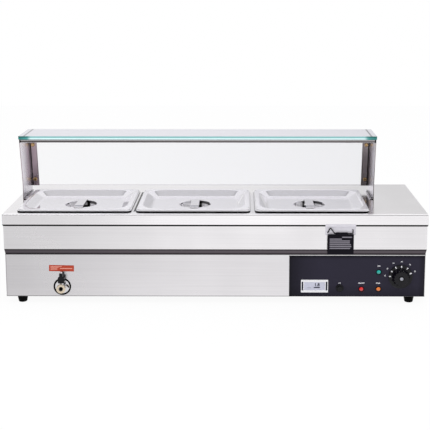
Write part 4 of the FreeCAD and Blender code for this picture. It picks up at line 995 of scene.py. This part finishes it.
def makeDial():
    place = x, z = dial["x"], dial["z"]
    base = panel["face"] + dial["gap"]
    top = base + dial["high"]
    skirt = lathe("dialSkirt", place, base, dial["skirt"], 72)
    steps = dial["flutes"] * 6
    grip = lathe("dialGrip", place, base, dial["grip"], steps)
    startEdit(grip)
    for width, depth in dial["fluteCuts"]:
        def inFlute(vert):
            reach = math.hypot(vert.co.x - x, vert.co.z - z)
            step = math.degrees(math.atan2(vert.co.z - z, vert.co.x - x)) / (360 / steps) % 6
            return (reach > dial["fluteFrom"] and -vert.co.y > base + dial["fluteFoot"]
                    and min(abs(step - 3), 6 - abs(step - 3)) < width * 0.55)
        pick(grip, "VERT", inFlute)
        share = 1 - depth / dial["gripTop"]
        bpy.ops.transform.resize(value=(share, 1, share), center_override=(x, -top, z))
    endEdit()
    finished(smoothed(joined("dialKnob", [skirt, grip]), 28), "knob", "black_plastic",
             "dial_knob", body="dial")
    turned("dialCapRim", place, top, dial["rim"], 36, "shadow", "black_plastic", body="dial",
           bored=True)
    turned("dialCap", place, top, dial["cap"], 36, "cap", "bright_metal", "dial_cap",
           body="dial")
    marks = figuresRound(3, 1, dial["markRadius"], -base - dial["markFace"], dial["markHigh"],
                         dial["markThick"], dial["markBold"])
    finished(joined("dialMarks", marks), "ink", "white_plastic", body="dial")


labels = {"ON": (0.4630, 0.1105), "30-80": (0.4615, 0.0602), "ON/OFF": (0.4145, 0.0602),
          "0 1": (0.3530, 0.0602)}
labelHigh, labelBold = 0.0050, 0.0001


def makePanelFigures():
    front = -panel["face"] - ink["thick"] / 2
    texts = figuresRound(30, 10, dial["figureRadius"], front, dial["figureHigh"], ink["thick"])
    texts += [lettering(words, (x, front, z), labelHigh, ink["thick"], bold=labelBold)
              for words, (x, z) in labels.items()]
    finished(joined("panelFigures", texts), "ink", "white_plastic")


makePanel()
makeMeter()
makeButton()
makeLamps()
makeDial()
makePanelFigures()
print("control panel made")


# drain valve; profiles of seal, rosette and spout from the wall, nut and ball from the nut's
# front, boss and stem upwards from the worktop

drain = {"x": -0.4355, "z": 0.049, "wall": 0.195, "line": 0.2075, "tip": 0.220,
         "seal": [(24.8, -0.5), (25.0, 0.8), (24.3, 1.5), (21.5, 1.6), (20.6, 0.8)],
         "rosette": [(20.4, -0.5), (20.4, 0.9), (19.6, 1.4), (17.0, 1.0), (13.0, 0.8),
                     (12.0, 1.3)],
         "spout": [(10.8, -1.0), (10.8, 16.5), (10.3, 17.2), (9.1, 18.0), (9.0, 21.0),
                   (5.8, 20.9), (5.8, 9.0)],
         "boss": [(6.0, 55.0), (6.0, 62.2), (5.6, 63.0)],
         "nut": [(9.2, -6.0), (12.0, -5.9), (12.9, -5.0), (13.0, -1.2), (11.9, -0.2), (10.6, 0),
                 (6.6, 0), (6.5, -0.6), (6.4, -3.9)],
         "ball": [(4.0, -20.5), (7.8, -16.2), (8.4, -13.0), (7.4, -8.5), (5.0, -5.8),
                  (1.5, -4.5)],
         "stem": [(2.9, 60.0), (3.0, 61.0), (3.0, 95.5), (2.6, 96.0)],
         "stay": [(0.0112, 0.0030, 0.0545), (0.0150, 0.0028, 0.0510), (0.0188, 0.0026, 0.0462)],
         "stayRadius": 0.0013}


def makeDrain():
    x, wall, tip, line = drain["x"], drain["wall"], drain["tip"], drain["line"]
    place, above = (x, drain["z"]), (x, -line)
    turned("drainSeal", place, wall, drain["seal"], 56, "rubber", "black_rubber", "drain_seal")
    turned("drainRosette", place, wall, drain["rosette"], 56, "polished", "polished_steel",
           "drain_rosette")
    spout = lathe("valveBody", place, wall, drain["spout"], 48)
    boss = lathe("boss", above, 0, drain["boss"], 32, front=False)
    finished(smoothed(joined("valveBody", [spout, boss]), 30), "polished", "bright_metal",
             "valve_body")
    turned("outletNut", place, tip, drain["nut"], 48, "nickel", "brass", "outlet_nut",
           bored=True)
    turned("valveBall", place, tip, drain["ball"], 32, "shadow", "bright_metal", "valve_ball",
           body="valve", degrees=60)
    stay = rodThrough("drainStay", [(x + right, -wall - out, up)
                                    for right, out, up in drain["stay"]], drain["stayRadius"])
    finished(smoothed(stay, 50), "wire", "dark_wire")
    turned("valveStem", above, 0, drain["stem"], 24, "polished", "bright_metal", "valve_stem",
           body="valve", front=False)


# the handle: half width by height above its foot, in millimetres
handle = {"foot": 0.06347, "half": 0.0080, "deep": 0.0048, "edge": 0.0009,
          "shape": [(9.3, 2.0), (9.3, 14.5), (8.6, 16.0), (5.2, 16.1), (4.6, 28.0)]}


def makeHandle():
    x, line, low, half = drain["x"], drain["line"], handle["foot"], handle["half"]
    start = 0.0001
    lever = block("valveHandle", (x - half, -line - handle["deep"], low),
                  (x + half, -line + handle["deep"], low + start))
    startEdit(lever)
    pick(lever, "FACE", lambda face: face.normal.z > 0.5)
    for wide, high in handle["shape"]:
        extrude(0, 0, high / 1000 - start)
        bpy.ops.transform.resize(value=(wide / 1000 / half, 1, 1),
                                 center_override=(x, -line, low + high / 1000))
        half, start = wide / 1000, high / 1000
    endEdit()
    finished(softened(lever, handle["edge"], 3), "black", "black_plastic", "valve_handle",
             body="valve")


redPlate = {"x": -0.4365, "z": 0.1025, "half": 0.0354, "rise": 0.0089, "thick": 0.0008,
            "tilt": 0.9, "edge": 0.0003,
            "rules": [(-31, 1, 106.7, 108.5), (-31, -8, 103.9, 105.3), (-31, -12, 101.1, 102.5),
                      (-31, -12, 98.3, 99.7), (-4, 31, 100.7, 103.3)]}


def makeRedPlate():
    x, z, front = redPlate["x"], redPlate["z"], -drain["wall"] - redPlate["thick"]
    plate = block("drainPlate", (x - redPlate["half"], front, z - redPlate["rise"]),
                  (x + redPlate["half"], -drain["wall"], z + redPlate["rise"]))
    tilt = math.radians(redPlate["tilt"])
    plate.rotation_euler = (0, tilt, 0)
    plate.location = Vector((x, 0, z)) - Matrix.Rotation(tilt, 3, "Y") @ Vector((x, 0, z))
    applyPlace(plate)
    finished(softened(plate, redPlate["edge"]), "redPlate", "red_plastic", "drain_plate")
    rulesOn("plateRules", x, front, redPlate["rules"], "plateLine", "cabinet")


# clip, wire and card on the front flange; the card's rules from its middle, top row first

tag = {"x": 0.353, "face": 0.2034, "top": 198.1, "low": 194.9, "pitch": 5.4,
       "rules": [(4, 31), (-31, 3), (-31, 26), (-31, 26), (-31, 29), (-31, 30), (-31, 27)]}


def makeTag():
    finished(refined("tag_clip", "tagClip", 0.0003), "clip", "clip_plastic", "tag_clip")
    wire = copied(nodes["tag_wire"], "tagWire")
    weldAndFace(wire)
    finished(smoothed(wire, 60), "wire", "dark_wire", "tag_wire")
    finished(refined("tag_card", "tagCard", 0.0001, 1), "card", "black_plastic", "tag_card",
             body="card")
    rows = [(left, right, tag["low"] - tag["pitch"] * row, tag["top"] - tag["pitch"] * row)
            for row, (left, right) in enumerate(tag["rules"])]
    rulesOn("cardRules", tag["x"], -tag["face"], rows, "cardLine", "card")


makeDrain()
makeHandle()
makeRedPlate()
makeTag()
print("drain and card made")


# studio

studio = {"floorSize": 8.0, "floorTone": 0.95, "whiteShare": 0.93, "lightPower": 20.0,
          "airTone": (0.9, 0.9, 0.92, 1),
          "lamps": {"topLight": ((0.3, -0.6, 2.6), 1.0, 2.6),  # place, share of power, size
                    "leftLight": ((-2.2, -1.2, 1.6), 0.5, 2.6),
                    "sparkLight": ((-0.9, -2.2, 2.0), 0.12, 0.5)}}
white = {"Color": (1, 1, 1, 1)}


def rayKinds(tree):  # whether a mirror sees a place, and whether the camera does
    rays = addNode(tree, "LightPath").outputs
    seen = addNode(tree, "Math", {0: rays["Is Camera Ray"], 1: rays["Is Transmission Ray"]},
                   operation="MAXIMUM")
    return rays["Is Glossy Ray"], seen.outputs[0]


def eitherOf(tree, share, first, second):
    return addNode(tree, "MixShader", {0: share, 1: first.outputs[0], 2: second.outputs[0]})


def makeFloor():
    clearSelection()
    bpy.ops.mesh.primitive_plane_add(size=studio["floorSize"], location=(0, 0, 0))
    floor = named("studioFloor")
    finish, tree, shader = newFinish()
    finish.name = "paleFloor"
    feed(tree, shader, {"Base Color": (*[studio["floorTone"]] * 3, 1), "Roughness": 0.9})
    across = byPlace(tree, "X", -0.9, 0.9, [
        (0.1, 0.72), (0.24, 0.80), (0.36, 0.95), (0.6, 0.99), (0.85, 0.91)])
    mirrored = addNode(tree, "Emission", {"Color": across})  # what polished steel shows of it
    glossy, seen = rayKinds(tree)
    share = addNode(tree, "Math", {0: seen, 1: studio["whiteShare"]}, operation="MULTIPLY")
    forCamera = eitherOf(tree, share.outputs[0], shader, addNode(tree, "Emission", white))
    forGloss = eitherOf(tree, glossy, forCamera, mirrored)
    feed(tree, tree.nodes["Material Output"], {"Surface": forGloss.outputs[0]})
    floor.data.materials.append(finish)


def makeWorld():
    world = bpy.data.worlds.new("studioWorld")
    world.use_nodes = True
    bpy.context.scene.world = world
    tree = world.node_tree
    across = alongAxis(tree, "X", -1.0, 1.0, "Generated")
    height = alongAxis(tree, "Z", -1.0, 1.0, "Generated")
    # behind the object: low for the flat tops, high for the slopes, darker at the left
    low = rampOf(tree, across, [(0.0, 0.50), (0.35, 0.84), (0.47, 0.83), (0.525, 0.76),
                                (0.565, 0.67), (0.63, 0.64), (1.0, 0.7)])
    high = rampOf(tree, height, [
        (0.885, 1.0), (0.905, 0.42), (0.925, 0.62), (0.95, 0.68), (1.0, 0.72)])
    leftDark = rampOf(tree, across, [(0.19, 0.10), (0.24, 1.0)])
    isHigh = rampOf(tree, height, [(0.62, 0.0), (0.70, 1.0)])
    behind = laidOver(tree, low, laidOver(tree, high, leftDark), "MIX", isHigh)
    # in front of it: a dark room with a white panel to the right
    panels = rampOf(tree, across, [(0.04, 0.03), (0.12, 0.22), (0.40, 0.14), (0.66, 0.06),
                                   (0.72, 0.95), (0.90, 0.95), (0.94, 0.10)])
    above = rampOf(tree, height, [
        (0.49, 0.85), (0.52, 0.0), (0.80, 0.0), (0.90, 0.55), (1.0, 0.62)])
    ahead = laidOver(tree, panels, above, "LIGHTEN")
    isBehind = alongAxis(tree, "Y", -0.45, 0.1, "Generated")
    room = addNode(tree, "Background", {"Color": laidOver(tree, ahead, behind, "MIX", isBehind)})
    air = tree.nodes["Background"]
    feed(tree, air, {"Color": studio["airTone"]})
    glossy, seen = rayKinds(tree)
    forCamera = eitherOf(tree, seen, eitherOf(tree, glossy, air, room),
                         addNode(tree, "Background", white))
    feed(tree, tree.nodes["World Output"], {"Surface": forCamera.outputs[0]})


def makeLights():
    target = Vector((0, 0, 0.2))
    for name, (place, share, size) in studio["lamps"].items():
        lamp = bpy.data.lights.new(name, "AREA")
        lamp.shape = "SQUARE"
        lamp.size = size
        lamp.energy = studio["lightPower"] * share
        light = linked(bpy.data.objects.new(name, lamp))
        light.location = place
        light.rotation_euler = (target - Vector(place)).to_track_quat("-Z", "Y").to_euler()
        light.visible_glossy = name == "sparkLight"


photoView = {"lens": 80.37, "sensor": 36.0, "shift": (-0.0488, -0.2093), "far": 60.0,
             "place": (0.071, -2.821, 0.924), "down": 8.87, "turn": 0.27}


def makeCamera():
    view = bpy.data.cameras.new("photoCamera")
    view.lens = photoView["lens"]
    view.sensor_width = photoView["sensor"]
    view.shift_x, view.shift_y = photoView["shift"]
    view.clip_end = photoView["far"]
    camera = linked(bpy.data.objects.new("photoCamera", view))
    camera.location = photoView["place"]
    camera.rotation_euler = (math.radians(90 - photoView["down"]), 0,
                             math.radians(photoView["turn"]))
    bpy.context.scene.camera = camera


makeFloor()
makeWorld()
makeLights()
makeCamera()
bpy.context.scene.view_settings.view_transform = "Standard"
print("studio ready")
